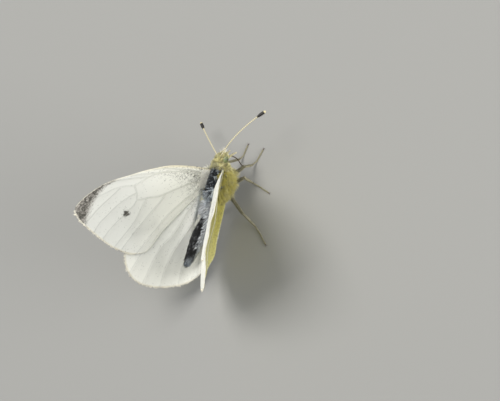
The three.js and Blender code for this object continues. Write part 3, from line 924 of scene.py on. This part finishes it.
# %% Rings of the abdomen
SEGMENT_START, SEGMENT_LENGTH, SEGMENT_STEP = -3.4, 1.42, 0.06
BODY_AXIS = np.array([(x, middle) for x, _, middle, _ in [*ABDOMEN, *TRUNK[1:], (3.9, 1, 1, 1)]])


def middle_height(x):
    return np.interp(x, BODY_AXIS[:, 0], BODY_AXIS[:, 1])


def segmented(places):
    """Draws the rear of each abdominal ring out and its front in."""
    x = places[:, 0]
    share = ((SEGMENT_START - x) / SEGMENT_LENGTH) % 1
    swell = SEGMENT_STEP * (step(0, 0.8, share) - step(0.88, 1, share)) * step(-3.4, -3.9, x)
    radial = np.column_stack([0 * x, places[:, 1], places[:, 2] - middle_height(x)])
    return places + unit(radial) * (swell - 0.5 * SEGMENT_STEP * step(-3.4, -3.9, x))[:, None]


set_spots(skin_mesh, segmented(spots_of(skin_mesh)))

# %% [markdown]
# The coat is worked out on a straight body, and its points are bent with the skin at the end.

# %% Bending the hind part
def bent(places):
    """Bends the hind part of the abdomen to the left. The rest is worked out on a straight body."""
    places = np.array(places)
    places[..., 1] += sideways(places[..., 0])
    return places

# %% [markdown]
# ## Markings of the body
# The back is slate blue to black under long pale hair, the flanks and the belly are olive
# yellow, the collar and the head pale and shaggy, and the abdomen black above and pale below.
# One function gives the colour at any place on the body, so skin and coat agree.

# %% Colour at a place on the body
SLATE, BLUE_WHITE = colour("#1c2229"), colour("#c8d2dc")
OLIVE, OLIVE_PALE = colour("#c9bf62"), colour("#dcd59c")
HEAD_OLIVE, HEAD_PALE = colour("#b4aa64"), colour("#e4dfb6")
BLACK, ASH = colour("#151517"), colour("#7d7f82")
TAIL_BLUE, SIDE_WHITE = colour("#98a2ab"), colour("#c6cbcc")
LOBE_CREAM = colour("#efeee2")
BELLY = colour("#cfcbab")


def angle_down(places):
    """0 on the back's ridge, 1 on the side and 2 under the belly."""
    drop = places[:, 2] - middle_height(places[:, 0])
    return np.arctan2(np.abs(places[:, 1]), drop) / (math.pi / 2)


def near_lobes(places):
    """1 on the small lobes over the wing roots."""
    mirrored = np.column_stack([places[:, 0], np.abs(places[:, 1]), places[:, 2]])
    gap = np.linalg.norm((mirrored - LOBE) / LOBE_HALF, axis=1)
    return (1 - step(0.9, 1.4, gap)) * step(1.2, 1.4, mirrored[:, 1])


def black_stripe(places):
    """1 in the abdomen's black stripe, which lies a little to the right of the ridge."""
    x = places[:, 0]
    turn = angle_down(places) * np.where(places[:, 1] > 0, -1, 1)
    low = np.interp(x, (-12, -10.5, -9, -7, -5.5, -3.5), (-1, -0.8, -0.42, -0.05, 0.08, 0.15))
    high = np.interp(x, (-13, -11, -6, -3.5), (0.95, 0.65, 0.5, 0.35))
    return step(low - 0.1, low + 0.05, turn) * (1 - step(high - 0.05, high + 0.1, turn))


def back_limit(places):
    """How far down on either side the thorax is dark."""
    left = np.interp(places[:, 0], (-3, -1.5, 0.3), (0.1, 0.22, 0.38))
    right = np.interp(places[:, 0], (-3, -1, 0.5), (0.36, 0.4, 0.52))
    return np.where(places[:, 1] > 0, left, right)


def body_tone(places):
    x = places[:, 0]
    down = angle_down(places)
    left = places[:, 1] > 0
    side_tone = mixed(LOBE_CREAM, OLIVE, step(0.95, 1.15, down) * left + ~left)
    start = back_limit(places)
    thorax = mixed(mixed(SLATE, side_tone, step(start, start + 0.1, down)), OLIVE_PALE,
                   step(1.3, 1.9, down))
    collar = mixed(HEAD_OLIVE, HEAD_PALE, 0.35 + 0 * x)
    side_white = mixed(SIDE_WHITE, LOBE_CREAM, 0.8 * left)
    back = mixed(side_white, BLACK, black_stripe(places))
    abdomen = mixed(back, BELLY, step(1.0, 1.35, down))
    abdomen = mixed(abdomen, TAIL_BLUE, 0.4 * step(-12.2, -13.4, x) * step(0.2, -0.3, places[:, 1]))
    tone = mixed(thorax, collar, step(2.1, 2.6, x))
    return mixed(tone, abdomen, step(-2.7, -3.3, x))


skin_tone = body_tone(spots_of(skin_mesh)) * 0.75
skin_spots = spots_of(skin_mesh)
skin_mesh.calc_loop_triangles()
skin_triangles = np.array([triangle.vertices[:] for triangle in skin_mesh.loop_triangles])
set_spots(skin_mesh, bent(skin_spots))
piece("skin", skin_mesh, SKIN, "body_fur", "head", "prothorax", "thorax", "abdomen",
      tone=skin_tone, dust=np.full(len(skin_tone), 0.1))

# %% [markdown]
# ## Where tufts root
# Roots are scattered evenly by area over the skin with a seeded chance, and thinned where the
# coat is thin. The bake map unrolls the body: the turn round it runs across, and the place
# along it runs up.

# %% Scattering roots
def scatter(count, rng, keep):
    """Roots and normals on the skin. keep gives the share of the roots that stay."""
    a, b, c = (skin_spots[skin_triangles[:, k]] for k in range(3))
    normal = np.cross(b - a, c - a)
    area = np.linalg.norm(normal, axis=1)
    weight = area * keep((a + b + c) / 3)
    pick = rng.choice(len(area), count, p=weight / weight.sum())
    s, t = np.sqrt(rng.uniform(0, 1, count)), rng.uniform(0, 1, count)
    s, t = s[:, None], t[:, None]
    roots = a[pick] * (1 - s) + b[pick] * (s * (1 - t)) + c[pick] * (s * t)
    return roots, unit(normal[pick])


# %% [markdown]
# A hair that meets a wing stops there, so a tuft that runs into a film is drawn in towards its
# root until it is clear.

# %% Hair stops at the wings
DRAW_IN, MOST_TRIES = 0.72, 8  # share of its length that a tuft keeps at each try
films = bmesh.new()
for film_name in ("forewing_left", "forewing_right", "hindwing_left", "hindwing_right"):
    films.from_mesh(bpy.data.objects[f"film_{film_name}"].data)
films.transform(PLACE.inverted())
FILMS = BVHTree.FromBMesh(films)
films.free()


def meets_wing(tuft, root):
    """Whether the line along the middle of a tuft runs into a wing."""
    path = [root, tuft[3:6].mean(axis=0), tuft[6:9].mean(axis=0), tuft[9]]
    for start, end in zip(path, path[1:]):
        way = Vector(end - start)
        if FILMS.ray_cast(Vector(start), way, way.length)[0] is not None:
            return True
    return False


def clear_of_wings(points):
    """Draws in every tuft that runs into a wing, and counts them."""
    drawn_in = 0
    for tuft in points:
        root = tuft[:3].mean(axis=0)
        tries = 0
        while tries < MOST_TRIES and meets_wing(tuft, root):
            tuft[:] = root + (tuft - root) * DRAW_IN
            tries += 1
        drawn_in += tries > 0
    print("tufts drawn in at the wings:", drawn_in, "of", len(points))
    return points


def body_patches(roots):
    turn = np.arctan2(roots[:, 1], roots[:, 2] - middle_height(roots[:, 0])) / (2 * math.pi)
    return np.column_stack([0.5 + 0.98 * turn, 0.02 + 0.96 * (roots[:, 0] + 14.5) / 19.5])


def varied(tone, rng, spread=0.22, lock=None):
    """Each tuft's tone, a little lighter or darker than the skin's, alike within a lock."""
    change = rng.normal(1, spread, len(tone))
    if lock is not None:
        change = rng.normal(1, 1.6 * spread, len(lock[1]))[lock[0]] + 0.4 * (change - 1)
    return np.clip(tone * change.clip(0.35, 1.8)[:, None], 0, 1)


# %% [markdown]
# ## The coat of the thorax
# Hair on the back lies backward and out, longer towards the abdomen; on the flanks it is dense,
# olive and combed down and back.

# %% Thorax
def thorax_back(places):
    x, down = places[:, 0], angle_down(places)
    limit = back_limit(places)
    return step(-3.5, -3.0, x) * (1 - step(2.3, 2.7, x)) * (1 - step(limit, limit + 0.12, down))


def thorax_flank(places):
    x, down = places[:, 0], angle_down(places)
    limit = back_limit(places) - 0.06
    return step(-3.5, -3.0, x) * (1 - step(2.1, 2.6, x)) * step(limit, limit + 0.12, down)


rng = np.random.default_rng(1)
roots, normals = scatter(11000, rng, thorax_back)
lock = locks(roots, rng, 1300)
chance = rng.uniform(0, 1, len(lock[1]))[lock[0]]
rear = roots[:, 0] + 1.1 * roots[:, 1]
pale = (chance < 0.13 + 0.72 * step(-0.9, -2.9, rear)) * 0.95
tone = varied(mixed(body_tone(roots), BLUE_WHITE, pale), rng, lock=lock)
lie = np.column_stack([-1 + 0 * roots[:, 0], 0.5 + 0 * roots[:, 1], 0 * roots[:, 0]])
long = (0.8 + 0.5 * step(0.5, -2.6, roots[:, 0])) * (1 - 0.45 * step(0.1, 0.7, roots[:, 1]))
points = grow(roots, normals, lie, long, 0.06, 0.85, rng, bend=1.0, stray=0.5, lock=lock)
coat("coat_back", clear_of_wings(points), tone, body_patches(roots), HAIR, "body_fur")

rng = np.random.default_rng(2)
roots, normals = scatter(12000, rng, thorax_flank)
lock = locks(roots, rng, 800)
pale = 0.8 * rng.uniform(0, 1, len(lock[1]))[lock[0]] ** 2
tone = varied(mixed(body_tone(roots), OLIVE_PALE, pale), rng, 0.07, lock)
lie = np.column_stack([-0.9 + 0 * roots[:, 0], 0.2 * np.sign(roots[:, 1]), -0.4 + 0 * roots[:, 0]])
points = grow(roots, normals, lie, 1.2, 0.05, 0.95, rng, bend=0.4, stray=0.4, lock=lock)
coat("coat_flanks", clear_of_wings(points), tone, body_patches(roots), HAIR, "body_fur")

# %% [markdown]
# ## Collar and head
# The collar's hair stands up like a ruff. The head is shaggy between the eyes, with bristles
# that lean forward over the face.

# %% Collar and head
EYE_MIDDLE, EYE_HALF = np.array([3.9, 0.84, 1.05]), np.array([0.6, 0.43, 0.6])


def eye_gap(places):
    """Distance from the nearer eye's middle, 1 on its surface."""
    mirrored = places * (1, 0, 1) + np.abs(places * (0, 1, 0))
    return np.linalg.norm((mirrored - EYE_MIDDLE) / EYE_HALF, axis=1)


def off_the_eyes(places):
    return step(0.95, 1.1, eye_gap(places))


def clear_of_eyes(places):
    """Share of its length that a hair keeps, so that none lies over an eye."""
    return 0.3 + 0.7 * step(1.0, 2.0, eye_gap(places))


def collar(places):
    x = places[:, 0]
    return step(2.1, 2.5, x) * (1 - step(3.2, 3.5, x)) * off_the_eyes(places)


def face(places):
    return step(3.1, 3.4, places[:, 0]) * off_the_eyes(places)


rng = np.random.default_rng(3)
roots, normals = scatter(8000, rng, collar)
lock = locks(roots, rng, 330)
pale = rng.uniform(0, 1, len(lock[1]))[lock[0]] ** 2
tone = varied(mixed(body_tone(roots), HEAD_PALE, 0.9 * pale), rng, lock=lock)
lie = np.column_stack([-0.3 + 0 * roots[:, 0], 0.5 * np.sign(roots[:, 1]), 0.3 + 0 * roots[:, 0]])
long = 0.95 * clear_of_eyes(roots)
points = grow(roots, normals, lie, long, 0.055, 1.0, rng, bend=0.5, stray=0.45, lock=lock)
coat("coat_collar", clear_of_wings(points), tone, body_patches(roots), HAIR, "head_fur")

rng = np.random.default_rng(4)
roots, normals = scatter(7000, rng, face)
lock = locks(roots, rng, 260)
pale = rng.uniform(0, 1, len(lock[1]))[lock[0]] ** 2
tone = varied(mixed(body_tone(roots), HEAD_PALE, 0.8 * pale), rng, lock=lock)
lie = np.column_stack([0.8 + 0 * roots[:, 0], 0.1 * roots[:, 1], 0.2 + 0 * roots[:, 0]])
long = 0.66 * clear_of_eyes(roots)
points = grow(roots, normals, lie, long, 0.046, 0.95, rng, bend=0.35, stray=0.45, lock=lock)
coat("coat_head", points, tone, body_patches(roots), HAIR, "head_fur")


def crown(places):
    """Before the right eye, on top of the face."""
    return np.exp(-(((places - (4.45, -0.32, 1.15)) / (0.25, 0.22, 0.3)) ** 2).sum(axis=1)) * face(places)


rng = np.random.default_rng(41)
roots, normals = scatter(36, rng, crown)
lock = locks(roots, rng, 6)
tone = varied(np.tile(colour("#f1eedd"), (len(roots), 1)), rng, 0.06, lock)
lie = np.tile((1.0, 0.15, 0.1), (len(roots), 1))
points = grow(roots, normals, lie, 1.45, 0.07, 0.6, rng, bend=0.2, stray=0.35, lock=lock)
coat("coat_bristles", points, tone, body_patches(roots), HAIR, "head_fur")

# %% [markdown]
# A small lobe covers each forewing's root in front. Its hair is pale on the left and olive on
# the right.

# %% Tufts over the wing roots
rng = np.random.default_rng(42)
roots, normals = scatter(3600, rng, near_lobes)
lock = locks(roots, rng, 250)
tuft = np.where(roots[:, 1:2] > 0, colour("#f0efe2"), OLIVE)
tone = varied(tuft, rng, 0.06, lock)
lie = np.column_stack([-1 + 0 * roots[:, 0], 0.9 * np.sign(roots[:, 1]), 0.2 + 0 * roots[:, 0]])
points = grow(roots, normals, lie, 1.0, 0.06, 0.55, rng, bend=0.8, stray=0.3, lock=lock)
coat("coat_lobes", clear_of_wings(points), tone, body_patches(roots), HAIR, "body_fur")

# %% [markdown]
# ## The coat of the abdomen
# Short flat scales, black with single ash grey ones above, pale below; long white hair only at
# its base.

# %% Abdomen
def abdomen_part(places):
    return step(-2.6, -3.2, places[:, 0])


rng = np.random.default_rng(5)
roots, normals = scatter(12000, rng, abdomen_part)
lock = locks(roots, rng, 900)
tail = step(-12.4, -13.8, roots[:, 0])
right = step(0.3, -0.2, roots[:, 1])
grey = rng.uniform(0, 1, len(lock[1]))[lock[0]] < 0.13 + 0.4 * tail * right
tone = varied(mixed(body_tone(roots), ASH, grey * rng.uniform(0.3, 0.9, len(roots))), rng, 0.25)
tone = mixed(tone, BLUE_WHITE, 0.85 * tail * right * (rng.uniform(0, 1, len(roots)) < 0.4))
lie = np.tile((-1.0, 0, 0), (len(roots), 1))
points = grow(roots, normals, lie, 0.36 + 0.45 * tail, 0.07, 0.3 + 0.3 * tail, rng, stray=0.25)
coat("coat_abdomen", clear_of_wings(bent(points)), tone, body_patches(roots), HAIR, "abdomen")


def abdomen_base(places):
    x, down = places[:, 0], angle_down(places)
    waist = step(-2.0, -2.8, x) * (1 - step(-3.8, -6.0, x)) * (1 - step(1.1, 1.4, down))
    waist = waist * (1 - step(-0.1, 0.4, places[:, 1]))
    side = 0.5 * step(0.4, 0.55, down) * (1 - step(1.0, 1.2, down)) * (1 - step(-9, -12, x))
    side = side * (places[:, 1] < 0)
    return np.maximum(waist, side * step(-2.0, -2.8, x))


WAIST_WHITE = colour("#edf1f7")
rng = np.random.default_rng(6)
roots, normals = scatter(4000, rng, abdomen_base)
lock = locks(roots, rng, 650)
share = np.clip(rng.uniform(0.15, 1.3, len(lock[1]))[lock[0]], 0, 1)
tone = varied(mixed(SLATE + 0 * roots, WAIST_WHITE, share), rng, 0.08, lock)
lie = np.column_stack([-1 + 0 * roots[:, 0], 0.8 + 0 * roots[:, 1], 0.2 + 0 * roots[:, 0]])
long = 1.2 - 0.6 * step(-4, -8, roots[:, 0])
points = grow(roots, normals, lie, long, 0.055, 0.5, rng, bend=0.9, stray=0.3, lock=lock)
coat("coat_waist", clear_of_wings(bent(points)), tone, body_patches(roots), HAIR, "body_fur")

# %% [markdown]
# ## Eyes
# A butterfly's eye is a bulging dome of thousands of facets. At this size the facets show only
# as a fine grain on a glossy surface, so they are bump. Deep inside, darker patches show
# through the grey green shell; they are part of the eye's colour here.

# %% Eyes
EYE_GREEN, EYE_DARK, EYE_RIM = colour("#6e784e"), colour("#262e28"), colour("#a9ab84")


def eye(name, side):
    bm = bmesh.new()
    middle = EYE_MIDDLE * (1, side, 1)
    shape = Matrix.Translation(middle) @ Matrix.Diagonal((*(EYE_HALF * 0.96), 1))
    bmesh.ops.create_uvsphere(bm, u_segments=64, v_segments=40, radius=1, matrix=shape)
    mesh = mesh_from(bm, name)
    out = (spots_of(mesh) - middle) / EYE_HALF
    band = np.exp(-(((out[:, 0] - 0.1) / 0.22) ** 2)) * step(-0.5, 0.3, out[:, 2] + 0.4)
    patch = np.exp(-((np.hypot(out[:, 0] + 0.35, out[:, 2] + 0.2) / 0.25) ** 2))
    tone = mixed(EYE_GREEN + 0 * out, EYE_DARK, np.clip(0.75 * band + 0.6 * patch, 0, 1))
    rim = step(0.8, 1.0, np.hypot(out[:, 0], out[:, 2]))
    return piece(name, mesh, EYE, "eye", name.replace("shell", "eye"), tone=mixed(tone, EYE_RIM, 0.7 * rim))


eye_nodes, eye_link = EYE.node_tree.nodes, EYE.node_tree.links.new
eye_place = eye_nodes.new("ShaderNodeTexCoord")
facets = eye_nodes.new("ShaderNodeTexVoronoi")
facets.inputs["Scale"].default_value = 14000
facet_bump = eye_nodes.new("ShaderNodeBump")
facet_bump.inputs["Strength"].default_value = 0.3
facet_bump.inputs["Distance"].default_value = 0.00003
facet_bump.invert = True
eye_link(eye_place.outputs["Object"], facets.inputs["Vector"])
eye_link(facets.outputs["Distance"], facet_bump.inputs["Height"])
eye_link(facet_bump.outputs["Normal"], eye_shader.inputs["Normal"])
eye("shell_left", 1)
eye("shell_right", -1)

# %% [markdown]
# ## Feelers
# A feeler is a chain of about thirty small ringed joints, cream with dark bands, that thickens
# at the end into a black club with a cream tip.

# %% Feelers
FEELERS = {
    "left": [(4.1, 0.36, 1.75), (5.2, 1.58, 1.98), (6.9, 6.66, -2.36), (8.6, 8.4, -2.6)],
    "right": [(4.1, -0.24, 1.75), (6.9, -1.4, 2.7), (10.1, -3.5, 2.75), (13.2, -5.85, 1.7)],
}
FEELER_JOINTS, FEELER_RINGS = 34, 340
SHAFT_RADIUS, CLUB_RADIUS, CLUB_START = 0.1, 0.27, 0.86
SHAFT_CREAM, SHAFT_BROWN = colour("#ded6b2"), colour("#5d5442")
CLUB_BLACK, CLUB_CREAM = colour("#1f1c1a"), colour("#ddd2a8")


def bowed(points, count):
    """Evenly spaced points on the arc from the first point to the last, drawn to those between."""
    t = np.linspace(0, 1, 200)[:, None]
    rows = [np.array(point) + 0 * t for point in points]
    while len(rows) > 1:
        rows = [a * (1 - t) + b * t for a, b in zip(rows, rows[1:])]
    arc = rows[0]
    run = np.r_[0, np.cumsum(np.linalg.norm(np.diff(arc, axis=0), axis=1))]
    at = np.linspace(0, run[-1], count)
    return np.column_stack([np.interp(at, run, column) for column in arc.T])


def feeler(side):
    share = np.linspace(0, 1, FEELER_RINGS)
    joint = (share * FEELER_JOINTS) % 1
    club = step(CLUB_START - 0.05, CLUB_START + 0.05, share)
    radius = SHAFT_RADIUS + (CLUB_RADIUS - SHAFT_RADIUS) * club + 0.06 * (1 - step(0, 0.03, share))
    radius = radius * (1 - 0.16 * np.abs(2 * joint - 1) ** 6)
    radius = radius * np.sqrt(np.clip(1 - np.clip((share - 0.955) / 0.0452, 0, 1) ** 2, 0.003, 1))
    mesh, row = tubes([np.c_[bowed(FEELERS[side], FEELER_RINGS), radius]], sides=12)
    band = step(0.5, 0.6, joint) * (1 - step(0.9, 1.0, joint))
    tone = mixed(SHAFT_CREAM + 0 * share[:, None], SHAFT_BROWN, 0.6 * band)
    tone = mixed(tone, CLUB_BLACK, step(CLUB_START - 0.03, CLUB_START, share))
    tone = mixed(tone, CLUB_CREAM, step(0.965, 0.978, share))
    return piece(f"feeler_{side}", mesh, FEELER, "club", f"antenna_{side}",
                 f"antenna_club_{side}", tone=tone[row])


for side in FEELERS:
    feeler(side)

# %% [markdown]
# ## Palps and tongue
# Two hairy palps stand before the face like a snout, and the tongue, a thin dark hose, hangs
# down in a loose bow from between them.

# %% Palps and tongue
PALP_TAN, TONGUE_BROWN = colour("#e6dcb8"), colour("#4b3e2d")


def palp(side, name):
    line = bowed([(3.9, side * 0.34, 0.1), (4.8, side * 0.46, -0.4), (5.5, side * 0.62, -1.6)], 26)
    share = np.linspace(0, 1, len(line))
    radius = (0.17 - 0.12 * share) * np.sqrt(np.clip(1 - share**12, 0.01, 1))
    mesh, row = tubes([np.c_[line, radius]], sides=12)
    tone = mixed(HEAD_OLIVE + 0 * share[:, None], PALP_TAN, share)
    core = piece(f"palp_core_{name}", mesh, FEELER, "palp", f"palp_{name}", tone=tone[row])
    rng = np.random.default_rng(20 + side)
    along, side_way, over = side_directions(line)
    pick = rng.integers(0, len(line) - 1, 900)
    turn = rng.uniform(0, 2 * math.pi, len(pick))[:, None]
    normal = side_way[pick] * np.cos(turn) + over[pick] * np.sin(turn)
    roots = line[pick] + normal * radius[pick][:, None] * 0.9
    points = grow(roots, normal, along[pick], 0.3, 0.03, 0.35, rng, bend=0.6, stray=0.15)
    hair = varied(mixed(HEAD_PALE + 0 * roots, PALP_TAN, share[pick]), rng)
    patches = np.column_stack([turn[:, 0] / (2 * math.pi), 0.02 + 0.96 * share[pick]])
    coat(f"coat_palp_{name}", points, hair, patches, HAIR, "palp")
    return core


palp(1, "left")
palp(-1, "right")
TONGUE = [(4.1, 0, -0.2), (4.75, 0, -1.6), (4.6, 0, -3.4), (4.0, 0, -4.9), (3.7, 0, -5.9)]
tongue_line = through(TONGUE, 120)
tongue_share = np.linspace(0, 1, len(tongue_line))
tongue_radius = (0.1 - 0.03 * tongue_share) * (1 + 0.06 * np.cos(2 * math.pi * 40 * tongue_share))
mesh, row = tubes([np.c_[tongue_line, tongue_radius]], sides=12)
piece("tongue", mesh, FEELER, "club", "proboscis", tone=TONGUE_BROWN + 0 * spots_of(mesh))

# %% [markdown]
# ## Legs
# Each leg has a thigh, a shin with two spurs, a foot of five joints and a pair of claws. The
# hips, knees, ankles and toes are those of the solids, and the foot lies on the floor.

# %% Legs
LEGS = {
    "fore_right": [(1.9, -0.9, -2.3), (3.7, -1.8, -3.2), (4.4, -1.6, -5.75), (7.3, -2.3)],
    "mid_right": [(0.5, -1.1, -2.7), (2, -2.7, -2.9), (1.7, -2.6, -5.75), (0.9, -5.8)],
    "hind_right": [(-1.2, -0.9, -2.7), (-3.5, -3.7, -3.9), (-4.9, -5.5, -5.95), (-7.2, -8.2)],
    "fore_left": [(1.9, 0.9, -2.3), (3.6, 1.6, -3.3), (4.7, 1.1, -5.75), (7.3, 0.8)],
    "mid_left": [(0.5, 1.1, -2.7), (1.5, 2.9, -2.8), (0.8, 3, -5.75), (-0.5, 6.1)],
    "hind_left": [(-1.2, 0.9, -2.7), (-4.1, 3.1, -3.6), (-7, 3.6, -5.95), (-10.9, 4.9)],
}
THIGH_RADIUS, SHIN_RADIUS, FOOT_RADIUS = 0.27, 0.19, 0.14
FOOT_JOINTS = 5
LEG_OLIVE, LEG_CREAM, CLAW_BROWN = colour("#7f7b64"), colour("#cfc8a6"), colour("#4a3523")


def leg(name, hip, knee, ankle, toe):
    hip, knee, ankle = (np.array(p, float) for p in (hip, knee, ankle))
    sole = -BODY_HEIGHT + FOOT_RADIUS
    toe = np.array([*toe, sole])
    landing = ankle + 0.3 * (toe - ankle)
    landing[2] = sole
    share = np.linspace(0, 1, 30)
    thigh = hip + (knee - hip) * share[:, None]
    thigh_radius = THIGH_RADIUS * (1 - 0.3 * share) * (1 - 0.35 * share**14)
    shin = knee + (ankle - knee) * share[:, None]
    shin_radius = SHIN_RADIUS * (0.85 + 0.3 * np.sin(math.pi * share) - 0.15 * share)
    foot = through([ankle, landing, (landing + toe) / 2, toe], 100)
    foot_share = np.linspace(0, 1, 100)
    joint = (foot_share * FOOT_JOINTS) % 1
    foot_radius = FOOT_RADIUS * (0.72 + 0.28 * step(0, 0.8, joint)) * (1 - 0.15 * foot_share)
    foot[:, 2] = np.maximum(foot[:, 2], -BODY_HEIGHT + foot_radius)
    lines = [np.c_[thigh, thigh_radius], np.c_[shin, shin_radius], np.c_[foot, foot_radius]]
    way, across, _ = side_directions(foot[-8:])
    flat = unit(np.array([-way[-1][1], way[-1][0], 0]))
    for turn in (1, -1):
        tip = toe + way[-1] * 0.34 + flat * turn * 0.24 - (0, 0, FOOT_RADIUS * 0.75)
        claw = bowed([toe, toe + way[-1] * 0.3 + flat * turn * 0.06, tip], 10)
        lines.append(np.c_[claw, np.linspace(0.05, 0.012, 10)])
        spur_tip = ankle + unit(toe - ankle) * 0.35 + flat * turn * 0.22
        spur = bowed([ankle, ankle + flat * turn * 0.1, spur_tip], 8)
        lines.append(np.c_[spur, np.linspace(0.04, 0.012, 8)])
    mesh, row = tubes(lines, sides=12)
    part = np.repeat([0, 1, 2, 3, 4, 3, 4], [len(line) for line in lines])
    bottom = step(0.3, -0.6, (spots_of(mesh) - np.vstack(lines)[row][:, :3])[:, 2] / 0.2)
    base = mixed(LEG_OLIVE + 0 * bottom[:, None], LEG_CREAM, bottom)
    tone = np.where((part[row] >= 3)[:, None], CLAW_BROWN, base)
    nodes = [f"leg_{name}_{segment}" for segment in ("femur", "tibia", "tarsus")]
    piece(f"leg_{name}", mesh, LEG, "leg", *nodes, tone=tone)
    return thigh, thigh_radius, shin, shin_radius


def leg_hair(rng, line, radius, count, length):
    along, side_way, over = side_directions(line)
    pick = rng.integers(0, len(line) - 1, count)
    slip = rng.uniform(0, 1, count)[:, None]
    turn = rng.uniform(0, 2 * math.pi, count)[:, None]
    normal = side_way[pick] * np.cos(turn) + over[pick] * np.sin(turn)
    centre = line[pick] * (1 - slip) + line[pick + 1] * slip
    roots = centre + normal * radius[pick][:, None] * 0.9
    points = grow(roots, normal, along[pick], length, 0.03, 0.45, rng, bend=0.6, stray=0.15)
    patches = np.column_stack([turn[:, 0] / (2 * math.pi), (pick + slip[:, 0]) / len(line)])
    return roots, normal, points, patches


for number, (name, joints) in enumerate(LEGS.items()):
    thigh, thigh_radius, shin, shin_radius = leg(name, *joints)
    rng = np.random.default_rng(30 + number)
    fuzz = [leg_hair(rng, thigh, thigh_radius, 900, 0.42), leg_hair(rng, shin, shin_radius, 500, 0.2)]
    normal = np.vstack([part[1] for part in fuzz])
    tone = mixed(LEG_OLIVE + 0 * normal, LEG_CREAM, step(0.2, -0.7, normal[:, 2]))
    points = np.concatenate([part[2] for part in fuzz])
    patches = np.vstack([part[3] * (1, 0.5) + (0, 0.5 * n) for n, part in enumerate(fuzz)])
    coat(f"coat_leg_{name}", points, varied(tone, rng), patches, HAIR, "leg")

# %% [markdown]
# ## Hair on the wing roots
# Long pale hair grows from the wings' bases and along the hindwings' inner part, and hides
# where they join the body.

# %% Wing root hair
def root_hair(wing, side, rng, count, spans, chords, length, tone, under=False):
    span = rng.uniform(*spans, count)
    chord = rng.uniform(*chords, count)
    face_up = -1 if under else 1
    roots = wing_place(wing, side, span, chord, 0.02 * face_up)
    normals = unit(wing_place(wing, side, span, chord, 0.2 * face_up) - roots)
    lie = unit(wing_place(wing, side, span + 0.05, chord + 0.1) - wing_place(wing, side, span, chord))
    points = grow(roots, normals, lie, length, 0.05, 0.3, rng, bend=0.8, stray=0.25)
    patches = np.column_stack([
        0.02 + 0.96 * (span - spans[0]) / (spans[1] - spans[0]),
        0.02 + 0.96 * (chord - chords[0]) / (chords[1] - chords[0]),
    ])
    return points, varied(np.tile(tone, (count, 1)), rng, 0.15), patches


for side, name in ((1, "left"), (-1, "right")):
    rng = np.random.default_rng(50 + side)
    sets = [
        root_hair(FOREWING, side, rng, 900, (-0.9, 0.7), (0.6, 3.2), 0.9, colour("#f3f2e8")),
        root_hair(HINDWING, side, rng, 1400, (-1.6, 0.4), (3.0, 9.0), 1.1, colour("#ccd1d1")),
        root_hair(HINDWING, side, rng, 700, (-0.8, 0.6), (2.6, 5.5), 0.8, OLIVE_PALE, True),
    ]
    points = np.concatenate([part[0] for part in sets])
    tone = np.vstack([part[1] for part in sets])
    patches = np.vstack([part[2] * (1, 0.32) + (0, 0.33 * n) for n, part in enumerate(sets)])
    coat(f"coat_wing_root_{name}", points, tone, patches, HAIR, "body_fur")

# %% [markdown]
# ## Floor, light and camera
# The model stands on a plain pale floor under a large soft lamp and an even pale sky. The
# camera looks down on it from its right, turned so that the head points up in the view, with
# a long lens, so that near and far parts keep their sizes.

# %% Floor and light
bm = bmesh.new()
bmesh.ops.create_grid(bm, x_segments=1, y_segments=1, size=3.0)
floor_mesh = mesh_from(bm, "floor")
floor_mesh.transform(Matrix.Translation((0, 0, CAD_LOW.z)))
floor = bpy.data.objects.new("floor", floor_mesh)
bpy.context.scene.collection.objects.link(floor)
floor_material = bpy.data.materials.new("Floor paper")
floor_material.use_nodes = True
floor_shader = floor_material.node_tree.nodes["Principled BSDF"]
floor_shader.inputs["Base Color"].default_value = (0.33, 0.33, 0.32, 1)
floor_shader.inputs["Roughness"].default_value = 0.9
floor_mesh.materials.append(floor_material)

world = bpy.data.worlds.new("studio")
world.use_nodes = True
world.node_tree.nodes["Background"].inputs["Color"].default_value = (0.95, 0.98, 1.0, 1)
world.node_tree.nodes["Background"].inputs["Strength"].default_value = 0.47
bpy.context.scene.world = world

# %% [markdown]
# The camera's tilt and roll give the slant at which the insect is seen.

# %% Camera
VIEW_TILT = math.radians(33)  # from straight above, towards the insect's right
VIEW_ROLL = math.radians(17.4)  # between the view's upright and the way the head points
VIEW_DISTANCE = 0.5
LENS, SENSOR_WIDTH = 223, 36  # millimetres
VIEW_CENTRE = Vector((-1.2, -4.9, -3.2))  # from the middle of the body
forward = Vector((1, 0, 0))
aside = Vector((0, math.cos(VIEW_TILT), math.sin(VIEW_TILT)))
outward = forward.cross(aside)
view_up = forward * math.cos(VIEW_ROLL) + aside * math.sin(VIEW_ROLL)
view_right = view_up.cross(outward)
target = ORIGIN + VIEW_CENTRE * MM

camera_data = bpy.data.cameras.new("camera")
camera_data.lens = LENS
camera_data.sensor_width = SENSOR_WIDTH
camera = bpy.data.objects.new("camera", camera_data)
bpy.context.scene.collection.objects.link(camera)
turned = Matrix((view_right, view_up, outward)).transposed()
camera.matrix_world = Matrix.Translation(target + outward * VIEW_DISTANCE) @ turned.to_4x4()
bpy.context.scene.camera = camera


def soft_lamp(name, way, distance, size, power, tint=(1, 1, 1)):
    """A square lamp seen from the insect in the direction way, facing it."""
    data = bpy.data.lights.new(name, "AREA")
    data.size = size
    data.energy = power
    data.color = tint
    lamp = bpy.data.objects.new(name, data)
    lamp.location = ORIGIN + way.normalized() * distance
    lamp.rotation_euler = (-way).to_track_quat("-Z", "Y").to_euler()
    bpy.context.scene.collection.objects.link(lamp)


soft_lamp("key", outward + aside + forward * 0.35, 0.6, 0.3, 3.05, (1, 0.97, 0.92))
soft_lamp("fill", outward * 0.7 - aside * 0.8 + forward * 0.2, 0.6, 0.4, 3.6, (1, 0.98, 0.95))
bpy.context.scene.view_settings.view_transform = "Standard"
bpy.context.scene.view_settings.look = "None"
print("camera at", tuple(round(v, 4) for v in camera.location))
